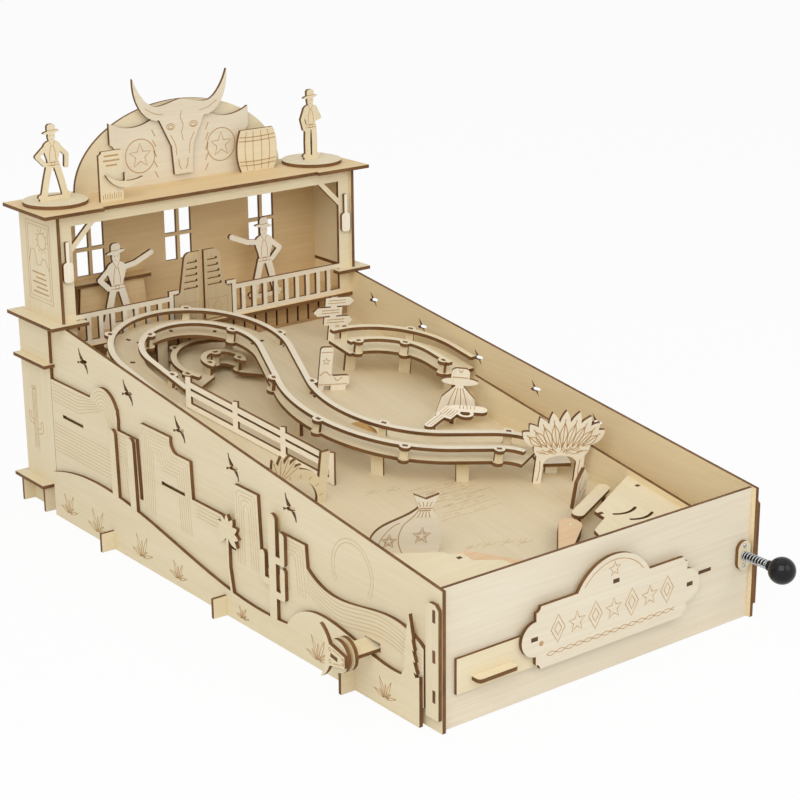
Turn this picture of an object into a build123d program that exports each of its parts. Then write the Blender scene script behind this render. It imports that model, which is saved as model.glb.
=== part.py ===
from build123d import *
import os
from math import acos, asin, atan2, cos, degrees, dist, radians, sin, sqrt, tan

# Sheet, fits and running room
ply = 3.0
fit = 0.1
slide_gap = 0.5
turn_gap = 0.06

# Cabinet, with y measured from the front ends of the side walls
box_width = 300.0
box_length = 566.0
wall_front = 103.0
wall_slope = 7.6
front_inset = 3.7
rib_stations = (90.0, 251.0, 417.0)
rib_reach = 18.0
foot_height = 16.0
rib_bridge = 30.0
rib_shoulder = 26.0
panel_tabs = (22.0, 51.0, 80.0)
tab_height = 9.0
strip_width = 14.0
strip_foot = 10.0
strip_top = 93.0
bird_stations = (170.0, 243.0, 316.0, 392.0, 462.0)
bird_drop = 17.0
bird_span = 17.0

# Playfield, tilted towards the front
field_front = 43.4
field_slope = 9.37
lane_width = 17.0
divider_height = 28.0
divider_end = 298.0
drain_half = 24.0
drain_front = 16.0
drain_back = 54.0
apron_lift = 20.0

# Flippers, shafts, cranks and push buttons
flipper_x = 50.0
flipper_y = 96.0
flipper_length = 43.5
flipper_root = 9.0
flipper_tip = 4.5
flipper_lift = 2.0
flipper_depth = 9.0
flipper_rest = 42.0
flipper_swing = 45.0
shaft_radius = 2.5
crank_drop = 8.0
crank_radius = 18.0
pin_radius = 1.5
bar_drop = 13.0
bar_width = 16.0
bar_station = 70.0
bar_reach = 36.0
bar_tenon = 8.0
head_plates = 4
button_disc = 12.0

# Plunger
plunger_z = 52.0
rod_radius = 2.0
rod_tip_y = 20.0
knob_radius = 10.3
knob_y = -36.0
collar_length = 3.0
plate_width = 13.0
plate_height = 23.0
wire = 0.8
coil_radius = 2.8
coil_turns = 10
wire_sides = 8

# Hatch and tray
hatch_inset = 13.0
hatch_right = -55.0
hatch_low = 24.5
hatch_high = 50.5
pivot_x = -65.0
pivot_z = 42.0
hatch_pin = 2.0
handle_width = 35.0
handle_inset = 13.0
handle_rise = 7.0
handle_reach = 8.0
tray_back = 58.0
tray_z = 24.0
tray_right = 70.0
ball_radius = 6.0
ball_x = -105.0
ball_y = 30.0

# Saloon, with depths measured from the back ends of the side walls
tower_depth = 64.0
tower_tail = 8.0
back_inset = 6.0
riser_rise = 19.6
roof_rise = 116.0
roof_reach = 13.0
roof_eave = 6.0
roof_tail = 2.0
roof_step = 4.0
post_width = 12.0
beam_depth = 10.0
brace_leg = 21.0
brace_width = 4.5
ledge_reach = 13.0
ledge_inner = 22.0
low_ledge_drop = 38.0
low_ledge_reach = 10.0
plinth_z = 22.0
plinth_depth = 44.0
pilaster_depth = 51.0
window_x = 88.0
window_width = 27.0
window_rise = 46.0
window_height = 46.0
muntin = 3.0
rail_rise = 26.5
rail_depth = 4.0
baluster_width = 4.0
baluster_pitch = 11.5
groove_pairs = 12
door_center = -11.0
door_width = 27.0
door_gap = 4.0
door_lift = 4.5
door_height = 61.5
door_frame = 3.2
peg_radius = 0.8
jamb_width = 4.0
jamb_gap = 1.0
arch_gap = 26.0
arch_rise = 70.0
arch_setback = 14.0
disc_inset = 20.0
disc_setback = 28.0
disc_radius = 27.0
porch_figure = 77.0
roof_figure = 66.0

# Ramps: rails and floors share one track section
track_gap = 20.0
rail_width = 5.0
rail_height = 8.0
ear_radius = 4.6
ear_shift = 2.4
spacer_width = 4.0
spacer_shoulder = 1.2
post_wide = 10.0
loop_slope = 11.3
loop_front = 71.0
loop_radius = 62.0
cross_run = 62.6
cross_bearing = -41.2
bend_radius = 106.0
bend_end = 245.0
entry_length = 56.0
exit_length = 38.0
exit_radius = 40.0
exit_turn = 40.0
ramp_foot = 238.0
ramp_foot_half = 45.0
fence_height = 22.0
fence_bar = 4.5
spiral_shift = 31.0
spiral_setback = 61.0
spiral_radius = 29.0
spiral_lift = 6.0
side_setback = 151.0
side_radius = 59.5
side_lift = 21.0
side_run = 26.0

# Places worked out from the sizes above
half = box_width / 2
hatch_left = -half + hatch_inset
inner = half - ply
lane_left = inner - lane_width
divider_x = lane_left - ply
lane_x = (lane_left + inner) / 2
panel_back = front_inset + ply
tower_back = box_length - tower_tail
tower_front = tower_back - tower_depth
shelf_z = wall_front + tower_front * tan(radians(wall_slope))
ledge_z = shelf_z + ply
roof_front = tower_front - roof_eave
roof_back = tower_back + roof_tail
porch_y = tower_front + ply
back_y = tower_back - back_inset
pilaster_front = box_length - pilaster_depth
plinth_front = box_length - plinth_depth
arch_y = tower_back - arch_setback
disc_x = half - disc_inset
disc_y = tower_back - disc_setback
arch_half = disc_x - arch_gap
sign_y = front_inset - 2 * ply
tilt = radians(field_slope)
deck_z = field_front + (porch_y + 2 * ply) * tan(tilt) + riser_rise
roof_z = deck_z + roof_rise
low_ledge_z = shelf_z - low_ledge_drop
window_low = deck_z + window_rise
window_high = window_low + window_height
rail_z = deck_z + rail_rise
door_low = deck_z + door_lift
door_high = door_low + door_height
field = Plane(origin=(0, 0, field_front), x_dir=(1, 0, 0), z_dir=(0, -sin(tilt), cos(tilt)))
loop_tilt = radians(loop_slope)
loop_top = Plane(origin=(0, 0, loop_front), x_dir=(1, 0, 0), z_dir=(0, -sin(loop_tilt), cos(loop_tilt)))
track_depth = 2 * ply + rail_height
rail_offset = track_gap / 2 + rail_width / 2
ear_reach = rail_offset + ear_shift + ear_radius
loop_x = -inner + slide_gap + ear_reach + loop_radius
loop_back = porch_y - ply - track_depth * sin(loop_tilt)
loop_y = loop_back / cos(loop_tilt) - rail_width / 2 - rail_offset - loop_radius
spiral_x = loop_x + spiral_shift
spiral_y = porch_y - spiral_setback
side_x = inner - ear_reach - side_radius
side_y = porch_y - side_setback
origin_y = rib_stations[1]
tall = 2 * roof_z


def span(low_a, high_a, low_b, high_b):
    return Pos((low_a + high_a) / 2, (low_b + high_b) / 2) * Rectangle(high_a - low_a, high_b - low_b)


def outline_of(*points):
    turns = zip(points, points[1:] + points[:1])
    area = sum(first[0] * second[1] - second[0] * first[1] for first, second in turns)
    return Polygon(*(points if area > 0 else points[::-1]), align=None)


def front_sheet(profile, y, thick=ply):
    plane = Plane(origin=(0, y, 0), x_dir=(1, 0, 0), z_dir=(0, -1, 0))
    return extrude(plane * profile, thick, dir=-plane.z_dir)


def side_sheet(profile, x, thick=ply):
    plane = Plane(origin=(x, 0, 0), x_dir=(0, 1, 0), z_dir=(1, 0, 0))
    return extrude(plane * profile, thick, dir=plane.z_dir)


def flat_sheet(profile, z, thick=ply):
    return extrude(Plane.XY.offset(z) * profile, thick, dir=(0, 0, 1))


def field_sheet(profile, height, thick=ply):
    return extrude(field.offset(height) * profile, thick, dir=field.z_dir)


def twin(shape):
    return group(shape, mirror(shape, about=Plane.YZ))


def group(*shapes):
    return Compound([solid for shape in shapes for solid in shape.solids()])


def field_z(y):
    return field_front + y * tan(tilt)


def wall_top(y):
    return wall_front + y * tan(radians(wall_slope))


def up_field(y):
    return y / cos(tilt)


def standing(x, y, turn=0.0):
    base = field.from_local_coords(Vector(x, up_field(y), 0))
    along = field.x_dir * cos(radians(turn)) + field.y_dir * sin(radians(turn))
    return Plane(origin=base, x_dir=along, z_dir=along.cross(field.z_dir))


def standing_sheet(profile, x, y, turn=0.0):
    return extrude(standing(x, y, turn) * profile, ply / 2, both=True)


def limb(points, width):
    shape = Sketch()
    for first, second in zip(points, points[1:]):
        middle = Pos((first[0] + second[0]) / 2, (first[1] + second[1]) / 2)
        angle = degrees(atan2(second[1] - first[1], second[0] - first[0]))
        shape += middle * SlotCenterToCenter(dist(first, second), width, angle)
    return shape


def post_between(x, y, turn, width, top_plane):
    column = extrude(Pos(x, y) * Rot(0, 0, turn) * Rectangle(width, ply), tall)
    column = split(column, bisect_by=field, keep=Keep.TOP)
    return split(column, bisect_by=top_plane, keep=Keep.BOTTOM)


# Side walls
def bird(size):
    body = Rot(0, 0, -12) * Ellipse(size * 0.36, size * 0.1)
    near_wing = outline_of((-size * 0.16, 0), (size * 0.12, 0), (size * 0.3, size * 0.42))
    far_wing = outline_of((-size * 0.1, 0), (size * 0.1, 0), (-size * 0.26, -size * 0.34))
    return body + near_wing + far_wing


def bar_window():
    middle = field.from_local_coords(Vector(0, bar_station, -bar_drop - ply / 2))
    wide = bar_width * cos(tilt) + ply * sin(tilt) + 2 * slide_gap
    high = bar_width * sin(tilt) + ply * cos(tilt) + 2 * slide_gap
    return Pos(middle.Y, middle.Z) * Rectangle(wide, high)


def side_wall():
    profile = outline_of((0, 0), (box_length, 0), (box_length, shelf_z), (tower_front, shelf_z),
                         (0, wall_front))
    for station in rib_stations:
        profile -= span(station - ply / 2 - fit, station + ply / 2 + fit, 0, foot_height + fit)
    for height in panel_tabs:
        profile -= span(front_inset - fit, panel_back + fit, height - fit, height + tab_height + fit)
    for station in bird_stations:
        profile -= Pos(station, wall_top(station) - bird_drop) * bird(bird_span)
    profile -= bar_window()
    return side_sheet(profile, -half)


def corner_strip():
    profile = span(slide_gap, strip_width, strip_foot, strip_top)
    profile = chamfer(profile.vertices().group_by(Axis.Y)[-1], strip_width / 4)
    for height in panel_tabs:
        profile -= span(front_inset - fit, panel_back + fit, height - fit, height + tab_height + fit)
    return side_sheet(profile, -half - ply)


# Landscape layer: stepped buttes along the wall, and a low mound at the front
land_front = 16.0
land_low = 14.0
land_base = 55.0
back_butte = (408.0, 121.0)
back_knoll = (429.0, 112.0, 22.0)
back_step = (379.0, 104.0)
middle_butte = (328.0, 371.0, 120.0)
middle_step = (300.0, 108.0)
middle_foot = (294.0, 250.0, 78.0)
near_butte = (209.0, 239.0, 108.0)
front_butte = (150.0, 182.0, 88.0)
mound_start = (150.0, 72.0)
mound_dip = (114.0, 60.0)
mound_top = (60.0, 67.0)
mound_end = 57.0
butte_batter = 3.0
butte_scoop = 9.0
slot_places = ((480.0, 92.5), (325.0, 79.0))
slot_length = 34.0
land_back = pilaster_front - slide_gap


def butte(low_y, high_y, top):
    return outline_of((low_y - butte_batter, land_base), (low_y, top), (high_y, top), (high_y, land_base))


def mound():
    crest = Spline((land_front, mound_end), mound_top, mound_dip, mound_start)
    sides = Polyline(crest @ 1, (mound_start[0], land_low), (land_front, land_low), crest @ 0)
    return make_face(crest + sides)


def landscape():
    foot_front, foot_back, foot_top = middle_foot
    profile = span(mound_start[0] - ply, land_back, land_low, land_base) + mound()
    profile += butte(back_butte[0], land_back, back_butte[1])
    profile += Pos(back_knoll[0], back_knoll[1]) * Circle(back_knoll[2])
    profile += butte(back_step[0], back_butte[0] + ply, back_step[1])
    profile += butte(*middle_butte) + butte(middle_step[0], middle_butte[0] + ply, middle_step[1])
    scoop = middle_butte[0] - butte_scoop
    profile += span(scoop, middle_butte[0], middle_step[1], middle_step[1] + butte_scoop)
    profile -= Pos(scoop, middle_step[1] + butte_scoop) * Circle(butte_scoop)
    profile += span(foot_back, foot_front + 2 * ply, land_base - ply, foot_top)
    profile += butte(*near_butte) + butte(*front_butte)
    for place in slot_places:
        profile -= Pos(*place) * Rectangle(slot_length, ply)
    profile -= bar_window()
    for station in rib_stations:
        profile -= span(station - ply / 2 - fit, station + ply / 2 + fit, 0, foot_height + fit)
    profile &= span(land_front, land_back, land_low, tall)
    return side_sheet(profile, -half - ply)


# Skirt layer: a rolling ground line with cactus, yucca and pine outlines
skirt_front = 17.0
skirt_crest = 37.0
skirt_back = 39.0
skirt_dip = 21.0
skirt_bank = 152.0
skirt_hollow = 170.0
skirt_rise = 345.0
cactus_station = 187.0
cactus_height = 91.0
cactus_width = 9.0
column_stations = (384.0, 412.0)
column_top = 100.0
yucca_station = 246.0
yucca_height = 60.0
leaf_length = 15.0
leaf_width = 6.0
yucca_leaves = 9
yucca_spread = 125.0
pine_height = 66.0
pine_width = 22.0
pine_tiers = 6


def leaf(length, width, turn):
    left = ThreePointArc((0, 0), (-width / 2, length / 2), (0, length))
    right = ThreePointArc((0, length), (width / 2, length / 2), (0, 0))
    return Rot(0, 0, turn) * make_face(left + right)


def leaf_fan(length, width, count, spread):
    shape = leaf(length, width, 0)
    for step in range(1, count // 2 + 1):
        turn = spread * step / (count // 2)
        shape += leaf(length, width, turn) + leaf(length, width, -turn)
    return shape


def cactus(height, width):
    arm = height * 0.22
    shape = limb([(0, 0), (0, height - width / 2)], width)
    for side, level in ((-1, 0.32), (-1, 0.62), (1, 0.4)):
        elbow = side * width * 1.4
        shape += limb([(0, height * level), (elbow, height * level), (elbow, height * level + arm)],
                      width * 0.62)
    return shape


def yucca(height):
    stem = limb([(-leaf_width, 0), (0, height / 2), (0, height)], leaf_width / 2)
    fan = leaf_fan(leaf_length, leaf_width, yucca_leaves, yucca_spread)
    return stem + Pos(0, height - leaf_width / 2) * fan


def pine(height, width):
    shape = span(-width / 10, width / 10, 0, height / 2)
    for tier in range(pine_tiers):
        low = height * (0.2 + 0.12 * tier)
        reach = width / 2 * (1 - 0.13 * tier)
        shape += outline_of((-reach, low - leaf_width / 4), (0, low), (reach, low - leaf_width / 4),
                            (0, low + height * 0.24))
    return shape


def skirt():
    rear = Spline((skirt_hollow, skirt_dip), (near_butte[1], skirt_dip + fit), (skirt_rise, skirt_back),
                  (land_back, skirt_back))
    bank = Spline((skirt_front, skirt_crest), (bar_station, skirt_crest - ply), (skirt_bank, skirt_crest),
                  (skirt_hollow, skirt_dip))
    sides = Polyline(rear @ 1, (land_back, 0), (skirt_front, 0), bank @ 0)
    profile = make_face(bank + rear + sides)
    profile += Pos(cactus_station, skirt_dip / 2) * cactus(cactus_height, cactus_width)
    for station in column_stations:
        profile += limb([(station - ply, skirt_dip), (station, column_top)], cactus_width)
    profile += Pos(yucca_station, skirt_dip / 2) * yucca(yucca_height)
    profile += Pos(skirt_front + pine_width / 2, skirt_dip / 2) * pine(pine_height, pine_width)
    for station in rib_stations:
        profile -= span(station - ply / 2 - fit, station + ply / 2 + fit, 0, foot_height + fit)
    return side_sheet(profile, -half - 2 * ply)


# Cross ribs, whose ends stand out of the walls as feet
def cross_rib(station):
    top = field_z(station - ply / 2) - ply / cos(tilt)
    profile = span(-half - rib_reach, half + rib_reach, 0, foot_height)
    profile += span(-inner, inner, 0, top)
    profile -= span(-inner + rib_shoulder, inner - rib_shoulder, rib_bridge, top + ply)
    return front_sheet(profile, station - ply / 2)


# Front panel with its plunger hole and ball hatch opening
hatch_margin = 8.0


def front_panel():
    profile = span(-inner, inner, 0, wall_front)
    for height in panel_tabs:
        profile += span(-half - ply, half + ply, height, height + tab_height)
    profile -= Pos(lane_x, plunger_z) * Circle(rod_radius + turn_gap)
    profile -= span(hatch_left + hatch_margin, pivot_x - 3 * hatch_margin, hatch_low + ply, hatch_high - ply)
    profile -= Pos(pivot_x, pivot_z) * Circle(hatch_pin)
    return front_sheet(profile, front_inset)


def back_panel():
    profile = span(-inner, inner, 0, deck_z)
    return front_sheet(profile, tower_back - ply)


def playfield():
    end = up_field(tower_back - ply) - ply
    profile = span(-inner, inner, up_field(panel_back) + ply * tan(tilt), end)
    profile -= span(-drain_half, drain_half, up_field(drain_front), up_field(drain_back))
    for side in (-1, 1):
        profile -= Pos(side * flipper_x, up_field(flipper_y)) * Circle(shaft_radius + turn_gap)
    return field_sheet(profile, -ply)


def lane_divider():
    profile = span(panel_back, divider_end, 0, tall)
    low = side_sheet(profile, divider_x)
    low = split(low, bisect_by=field, keep=Keep.TOP)
    return split(low, bisect_by=field.offset(divider_height), keep=Keep.BOTTOM)


# Apron plates over the ball drain, on short stands
apron_back = 117.0
apron_corner = 87.0
apron_neck = 76.0
apron_waist_y = 66.0
apron_side = 64.0
apron_waist = 44.0
apron_mouth = 30.0
stand_inset = 30.0
stand_y = 60.0
vent_count = 3
vent_radius = 22.0
vent_start = 240.0
vent_sweep = 60.0
vent_pitch = 12.0
vent_width = 2.4


def apron_outline(edge):
    front = up_field(panel_back) + apron_lift * tan(tilt) + ply
    return outline_of((apron_mouth, front), (edge, front), (edge, up_field(apron_back)),
                      (apron_side, up_field(apron_corner)), (apron_side, up_field(apron_neck)),
                      (apron_waist, up_field(apron_waist_y)))


def apron_vents(edge):
    shape = Sketch()
    for step in range(vent_count):
        middle = (edge - stand_inset - vent_pitch * step / 2, up_field(stand_y) + vent_pitch * (step + 1))
        shape += SlotArc(CenterArc(middle, vent_radius, vent_start, vent_sweep), vent_width)
    return shape


def apron(edge, outline):
    stand = Pos(edge - stand_inset, up_field(stand_y)) * Rectangle(post_wide, ply)
    return group(field_sheet(outline, apron_lift), field_sheet(stand, 0, apron_lift))


def aprons():
    right = apron(divider_x, apron_outline(divider_x) - apron_vents(divider_x))
    return group(right, mirror(apron(inner, apron_outline(inner)), about=Plane.YZ))


# Lane guides: flat strips on spacers beside the flippers
guide_near = (flipper_x + 16.0, flipper_y + 9.0)
guide_far = (divider_x - 15.0, flipper_y + 30.0)
guide_width = 10.0
guide_lift = 9.0


def lane_guide():
    first = (guide_near[0], up_field(guide_near[1]))
    second = (guide_far[0], up_field(guide_far[1]))
    strip = field_sheet(limb([first, second], guide_width), guide_lift)
    foot = Rectangle(spacer_width, spacer_width)
    return group(strip, *[field_sheet(Pos(*spot) * foot, 0, guide_lift) for spot in (first, second)])


# Flippers with their shafts and cranks, drawn on the left side
pivot = (-flipper_x, up_field(flipper_y))


def flipper_outline():
    slope = asin((flipper_root - flipper_tip) / flipper_length)
    root_x, root_y = flipper_root * sin(slope), flipper_root * cos(slope)
    tip_x, tip_y = flipper_tip * sin(slope), flipper_tip * cos(slope)
    blade = outline_of((root_x, root_y), (flipper_length + tip_x, tip_y),
                       (flipper_length + tip_x, -tip_y), (root_x, -root_y))
    return blade + Circle(flipper_root) + Pos(flipper_length, 0) * Circle(flipper_tip)


def flipper():
    outline = flipper_outline() - Rectangle(2 * shaft_radius - ply / 2, 2 * shaft_radius - ply / 2)
    placed = Pos(*pivot) * Rot(0, 0, -flipper_rest) * outline
    return field_sheet(placed, flipper_lift, flipper_depth)


def flipper_shaft():
    peg = Rectangle(2 * shaft_radius - ply / 2 - 2 * fit, 2 * shaft_radius - ply / 2 - 2 * fit)
    round_low = crank_drop + ply
    shaft = field_sheet(Pos(*pivot) * Circle(shaft_radius), -round_low, round_low + flipper_lift)
    return shaft + field_sheet(Pos(*pivot) * Rot(0, 0, -flipper_rest) * peg, flipper_lift, flipper_depth)


def pin_place(angle):
    return (pivot[0] + crank_radius * sin(radians(angle)), pivot[1] - crank_radius * cos(radians(angle)))


def flipper_crank():
    spot = pin_place(-flipper_swing / 2)
    arm = limb([pivot, spot], 3 * shaft_radius) - Pos(*pivot) * Circle(shaft_radius)
    crank = field_sheet(arm, -crank_drop - ply)
    pin_length = bar_drop + 2 * ply - crank_drop - ply
    return crank + field_sheet(Pos(*spot) * Circle(pin_radius), -crank_drop - ply - pin_length, pin_length)


def button_bar():
    spot = pin_place(-flipper_swing / 2)
    lift = crank_radius * (1 - cos(radians(flipper_swing / 2)))
    slot_length = 2 * pin_radius + lift + 2 * slide_gap
    slot = SlotOverall(slot_length + slide_gap, 2 * (pin_radius + slide_gap), rotation=90)
    low = bar_station - bar_width / 2
    shoulder = -half - bar_reach + head_plates * ply
    profile = span(shoulder, spot[0] + bar_width / 2, low, low + bar_width)
    profile += span(-half - bar_reach, shoulder, bar_station - bar_tenon / 2, bar_station + bar_tenon / 2)
    profile += span(spot[0] - bar_width / 2, spot[0] + bar_width / 2, low, spot[1] + bar_width / 3)
    profile -= Pos(spot[0], spot[1] - lift / 2) * slot
    return field_sheet(profile, -bar_drop - ply)


# Button head: a bull's face with horns in front of two round discs
head_width = 17.0
head_height = 24.0
horn_span = 20.0


def bull_head():
    face = outline_of((-head_width / 2, head_height / 3), (head_width / 2, head_height / 3),
                      (head_width / 4, -head_height / 2), (-head_width / 4, -head_height / 2))
    horns = crescent(horn_span, head_height / 2, head_height / 4)
    return face + Pos(0, head_height / 6) * horns


def crescent(reach, rise, thick):
    outer = (reach * reach + rise * rise) / (2 * rise)
    inner_rise = rise - thick
    bore = (reach * reach + inner_rise * inner_rise) / (2 * inner_rise)
    ring = Pos(0, outer) * Circle(outer) - Pos(0, thick + bore) * Circle(bore)
    return ring & span(-reach - outer, reach + outer, -outer, rise)


def button_head():
    middle = field.from_local_coords(Vector(0, bar_station, -bar_drop - ply / 2))
    hole = Rot(0, 0, field_slope) * Rectangle(bar_tenon + 2 * fit, ply + 2 * fit)
    place = Pos(middle.Y, middle.Z)
    face_x = -half - bar_reach
    disc = place * (Circle(button_disc) - hole)
    face = side_sheet(place * (Rot(0, 0, -90) * bull_head() - hole), face_x)
    return group(face, side_sheet(disc, face_x + ply), side_sheet(disc, face_x + (head_plates - 1) * ply))


# Plunger: obround plate, rod with stop collar, ball knob and coil spring
def along_y(radius, first, last):
    plane = Plane(origin=(lane_x, first, plunger_z), x_dir=(1, 0, 0), z_dir=(0, 1, 0))
    return extrude(plane * Circle(radius), last - first)


def plunger_plate():
    profile = Pos(lane_x, plunger_z) * SlotOverall(plate_height, plate_width, rotation=90)
    profile -= Pos(lane_x, plunger_z) * Circle(rod_radius + turn_gap)
    return front_sheet(profile, front_inset - ply)


def plunger_rod():
    stop = panel_back + slide_gap
    return along_y(rod_radius, knob_y, rod_tip_y) + along_y(2 * rod_radius, stop, stop + ply)


def plunger_knob():
    neck = sqrt(knob_radius ** 2 - (2 * rod_radius) ** 2)
    ball = ThreePointArc((0, -knob_radius), (knob_radius, 0), (2 * rod_radius, neck))
    rest = Polyline(ball @ 1, (2 * rod_radius, neck + collar_length), (rod_radius, neck + collar_length),
                    (rod_radius, 0), (0, 0), ball @ 0)
    plane = Plane(origin=(lane_x, knob_y, plunger_z), x_dir=(1, 0, 0), z_dir=(0, 0, 1))
    return revolve(plane * make_face(ball + rest), Axis(plane.origin, (0, 1, 0)))


def biarc(start, start_dir, end, end_dir):
    chord = end - start
    both = start_dir + end_dir
    spread = 2 * (1 - start_dir.dot(end_dir))
    reach = (sqrt(chord.dot(both) ** 2 + spread * chord.dot(chord)) - chord.dot(both)) / spread
    first, second = start + start_dir * reach, end - end_dir * reach
    joint = (first + second) / 2
    return [TangentArc(start, joint, tangent=start_dir), TangentArc(joint, end, tangent=second - first)]


def plunger_spring():
    knob_face = knob_y + sqrt(knob_radius ** 2 - (2 * rod_radius) ** 2) + collar_length
    last = front_inset - ply - wire / 2 - fit
    first = knob_face + wire / 2 + fit
    pitch = (last - first) / coil_turns

    def point(turn):
        angle = radians(360 * turn)
        return Vector(lane_x + coil_radius * cos(angle), first + pitch * turn,
                      plunger_z + coil_radius * sin(angle))

    def heading(turn):
        angle = radians(360 * turn)
        round_way = radians(360) * coil_radius
        return Vector(-round_way * sin(angle), pitch, round_way * cos(angle)).normalized()

    edges = [Line(point(0) - heading(0) * wire, point(0))]
    for quarter in range(4 * coil_turns):
        now, then = quarter / 4, (quarter + 1) / 4
        edges += biarc(point(now), heading(now), point(then), heading(then))
    edges.append(Line(point(coil_turns), point(coil_turns) + heading(coil_turns) * wire))
    path = Wire(edges)
    samples = [point(step / 24) for step in range(24 * coil_turns + 1)]
    gap = min((a - b).length for i, a in enumerate(samples) for b in samples[i + 16:]) - wire
    print("plunger spring least gap to itself", round(gap, 2), "mm")
    return sweep(Plane(origin=path @ 0, z_dir=path % 0) * RegularPolygon(wire / 2, wire_sides), path=path)


# Hatch: a swinging plate over the ball opening, its handle and its pin
def hatch():
    profile = span(hatch_left, hatch_right, hatch_low, hatch_high)
    profile -= Pos(pivot_x, pivot_z) * Circle(hatch_pin + turn_gap)
    return front_sheet(profile, front_inset - ply + slide_gap / 2, ply - slide_gap)


def hatch_handle():
    left = hatch_left + handle_inset
    outline = span(left, left + handle_width, front_inset - ply + slide_gap / 2 - handle_reach,
                   front_inset - ply + slide_gap / 2)
    outline = fillet(outline.vertices().group_by(Axis.Y)[0], ply)
    return flat_sheet(outline, hatch_low + handle_rise)


def pivot_pin():
    plane = Plane(origin=(pivot_x, sign_y, pivot_z), x_dir=(1, 0, 0), z_dir=(0, 1, 0))
    return extrude(plane * Circle(hatch_pin), panel_back - sign_y)


# Front sign: a plank with scalloped ends and a dome, on two spacers
sign_x = 2.7
sign_z = 46.4
sign_width = 145.0
sign_height = 46.6
sign_lobe = 13.0
sign_dome = 39.4
sign_scoop = 4.0


def front_sign():
    dome = Pos(0, sign_scoop) * Circle(sign_dome) & span(-sign_width, sign_width, 0, sign_width)
    profile = Rectangle(sign_width, sign_height) + dome
    for side in (-1, 1):
        for level in (-1, 1):
            profile -= Pos(side * sign_width / 2, level * sign_height / 2) * Circle(sign_scoop)
        profile += Pos(side * sign_width / 2, 0) * Circle(sign_lobe)
    profile = Pos(sign_x, sign_z) * profile - Pos(pivot_x, pivot_z) * Circle(hatch_pin)
    return front_sheet(profile, sign_y)


def sign_spacers():
    right = sign_x + sign_width / 3
    upper = span(pivot_x + hatch_margin, right, hatch_high + hatch_margin, hatch_high + 2 * hatch_margin)
    lower = span(hatch_right + 3 * hatch_margin, right, hatch_low, hatch_low + hatch_margin)
    return front_sheet(upper, front_inset - ply) + front_sheet(lower, front_inset - ply)


# Ball tray below the drain, with one steel ball
def ball_tray():
    floor = flat_sheet(span(-inner, tray_right, panel_back, tray_back), tray_z)
    back = front_sheet(span(-inner, tray_right, tray_z + ply, tall), tray_back - ply)
    back = split(back, bisect_by=field.offset(-ply), keep=Keep.BOTTOM)
    return group(floor, back)


def steel_ball():
    return Pos(ball_x, ball_y, tray_z + ply + ball_radius + slide_gap / 2) * Sphere(ball_radius)


# Saloon towers
def tower_side():
    profile = span(tower_front, tower_back, ledge_z, roof_z)
    return side_sheet(profile, -half)


def upper_ledge():
    outline = span(-half - ledge_reach, -inner, roof_front, box_length)
    outline += span(-half - ledge_reach, -half + ledge_inner, roof_front, porch_y)
    return flat_sheet(outline, shelf_z)


def lower_ledges():
    low = span(-half - low_ledge_reach, -half, pilaster_front - ply, box_length)
    foot = span(-half - ledge_reach, -half, plinth_front, box_length + 2 * ply)
    return flat_sheet(low, low_ledge_z) + flat_sheet(foot, plinth_z)


def pilasters():
    high = span(pilaster_front, box_length, low_ledge_z + ply, shelf_z)
    low = span(pilaster_front, box_length, plinth_z + ply, low_ledge_z)
    return side_sheet(high, -half - ply) + side_sheet(low, -half - ply)


def plinth_feet():
    outline = span(-half - low_ledge_reach, -half, 0, plinth_z)
    return front_sheet(outline, plinth_front + ply) + front_sheet(outline, box_length - ply)


# Saloon porch
def porch_deck():
    outline = span(-inner, inner, tower_front, tower_back)
    for side in (-1, 1):
        outline -= Pos(door_hinge(side), porch_y + ply / 2) * Circle(peg_radius + turn_gap)
    return flat_sheet(outline, deck_z)


def door_hinge(side):
    return door_center + side * (door_gap / 2 + door_width - ply / 2)


def riser():
    low = field_z(porch_y + ply)
    profile = span(-inner, inner, low, deck_z)
    notch = span(-baluster_width / 4, baluster_width / 4, low + ply, deck_z - ply)
    for step in range(-groove_pairs, groove_pairs + 1):
        profile -= Pos(step * baluster_pitch, 0) * notch
    plate = front_sheet(profile, porch_y + 2 * ply)
    return split(plate, bisect_by=field, keep=Keep.TOP)


def porch_frame():
    deck_top = deck_z + ply
    profile = span(-inner, inner, deck_top, roof_z)
    profile -= span(-inner + post_width, inner - post_width, deck_top, roof_z - beam_depth)
    for side in (-1, 1):
        foot = (side * (inner - post_width + brace_width / 2), roof_z - beam_depth - brace_leg)
        head = (side * (inner - post_width - brace_leg), roof_z - beam_depth + brace_width / 2)
        profile += limb([foot, head], brace_width)
    return front_sheet(profile, porch_y)


def railing(side):
    deck_top = deck_z + ply
    outside = side * (inner - post_width)
    hinge = door_hinge(side)
    inside = hinge + side * (ply / 2 + jamb_gap)
    low, high = min(inside, outside), max(inside, outside)
    profile = span(low, high, rail_z, rail_z + rail_depth) + span(low, high, deck_top, deck_top + rail_depth)
    for step in range(1, int((high - low) / baluster_pitch)):
        middle = low + step * baluster_pitch
        profile += span(middle - baluster_width / 2, middle + baluster_width / 2, deck_top, rail_z + ply)
    hook = door_shoulder + ply / 2
    edge = inside + side * jamb_width
    profile += span(min(inside, edge), max(inside, edge), deck_top, hook + ply)
    reach = hinge - side * ply
    profile += span(min(reach, edge), max(reach, edge), hook, hook + ply)
    rail = front_sheet(profile, porch_y)
    return rail - peg(hinge, hook - ply, hook + 2 * ply, peg_radius + turn_gap)


def peg(x, low, high, radius):
    return extrude(Pos(x, porch_y + ply / 2, low) * Circle(radius), high - low)


# Bat-wing door: a high inner edge that falls to a low shoulder, louvre slots and two pivot pegs
louvre_count = 5
louvre_pitch = 5.6
louvre_height = 2.2
door_crown = 0.55
door_round = 6.0
door_flare = 4.0
door_shoulder = rail_z + rail_depth


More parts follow.
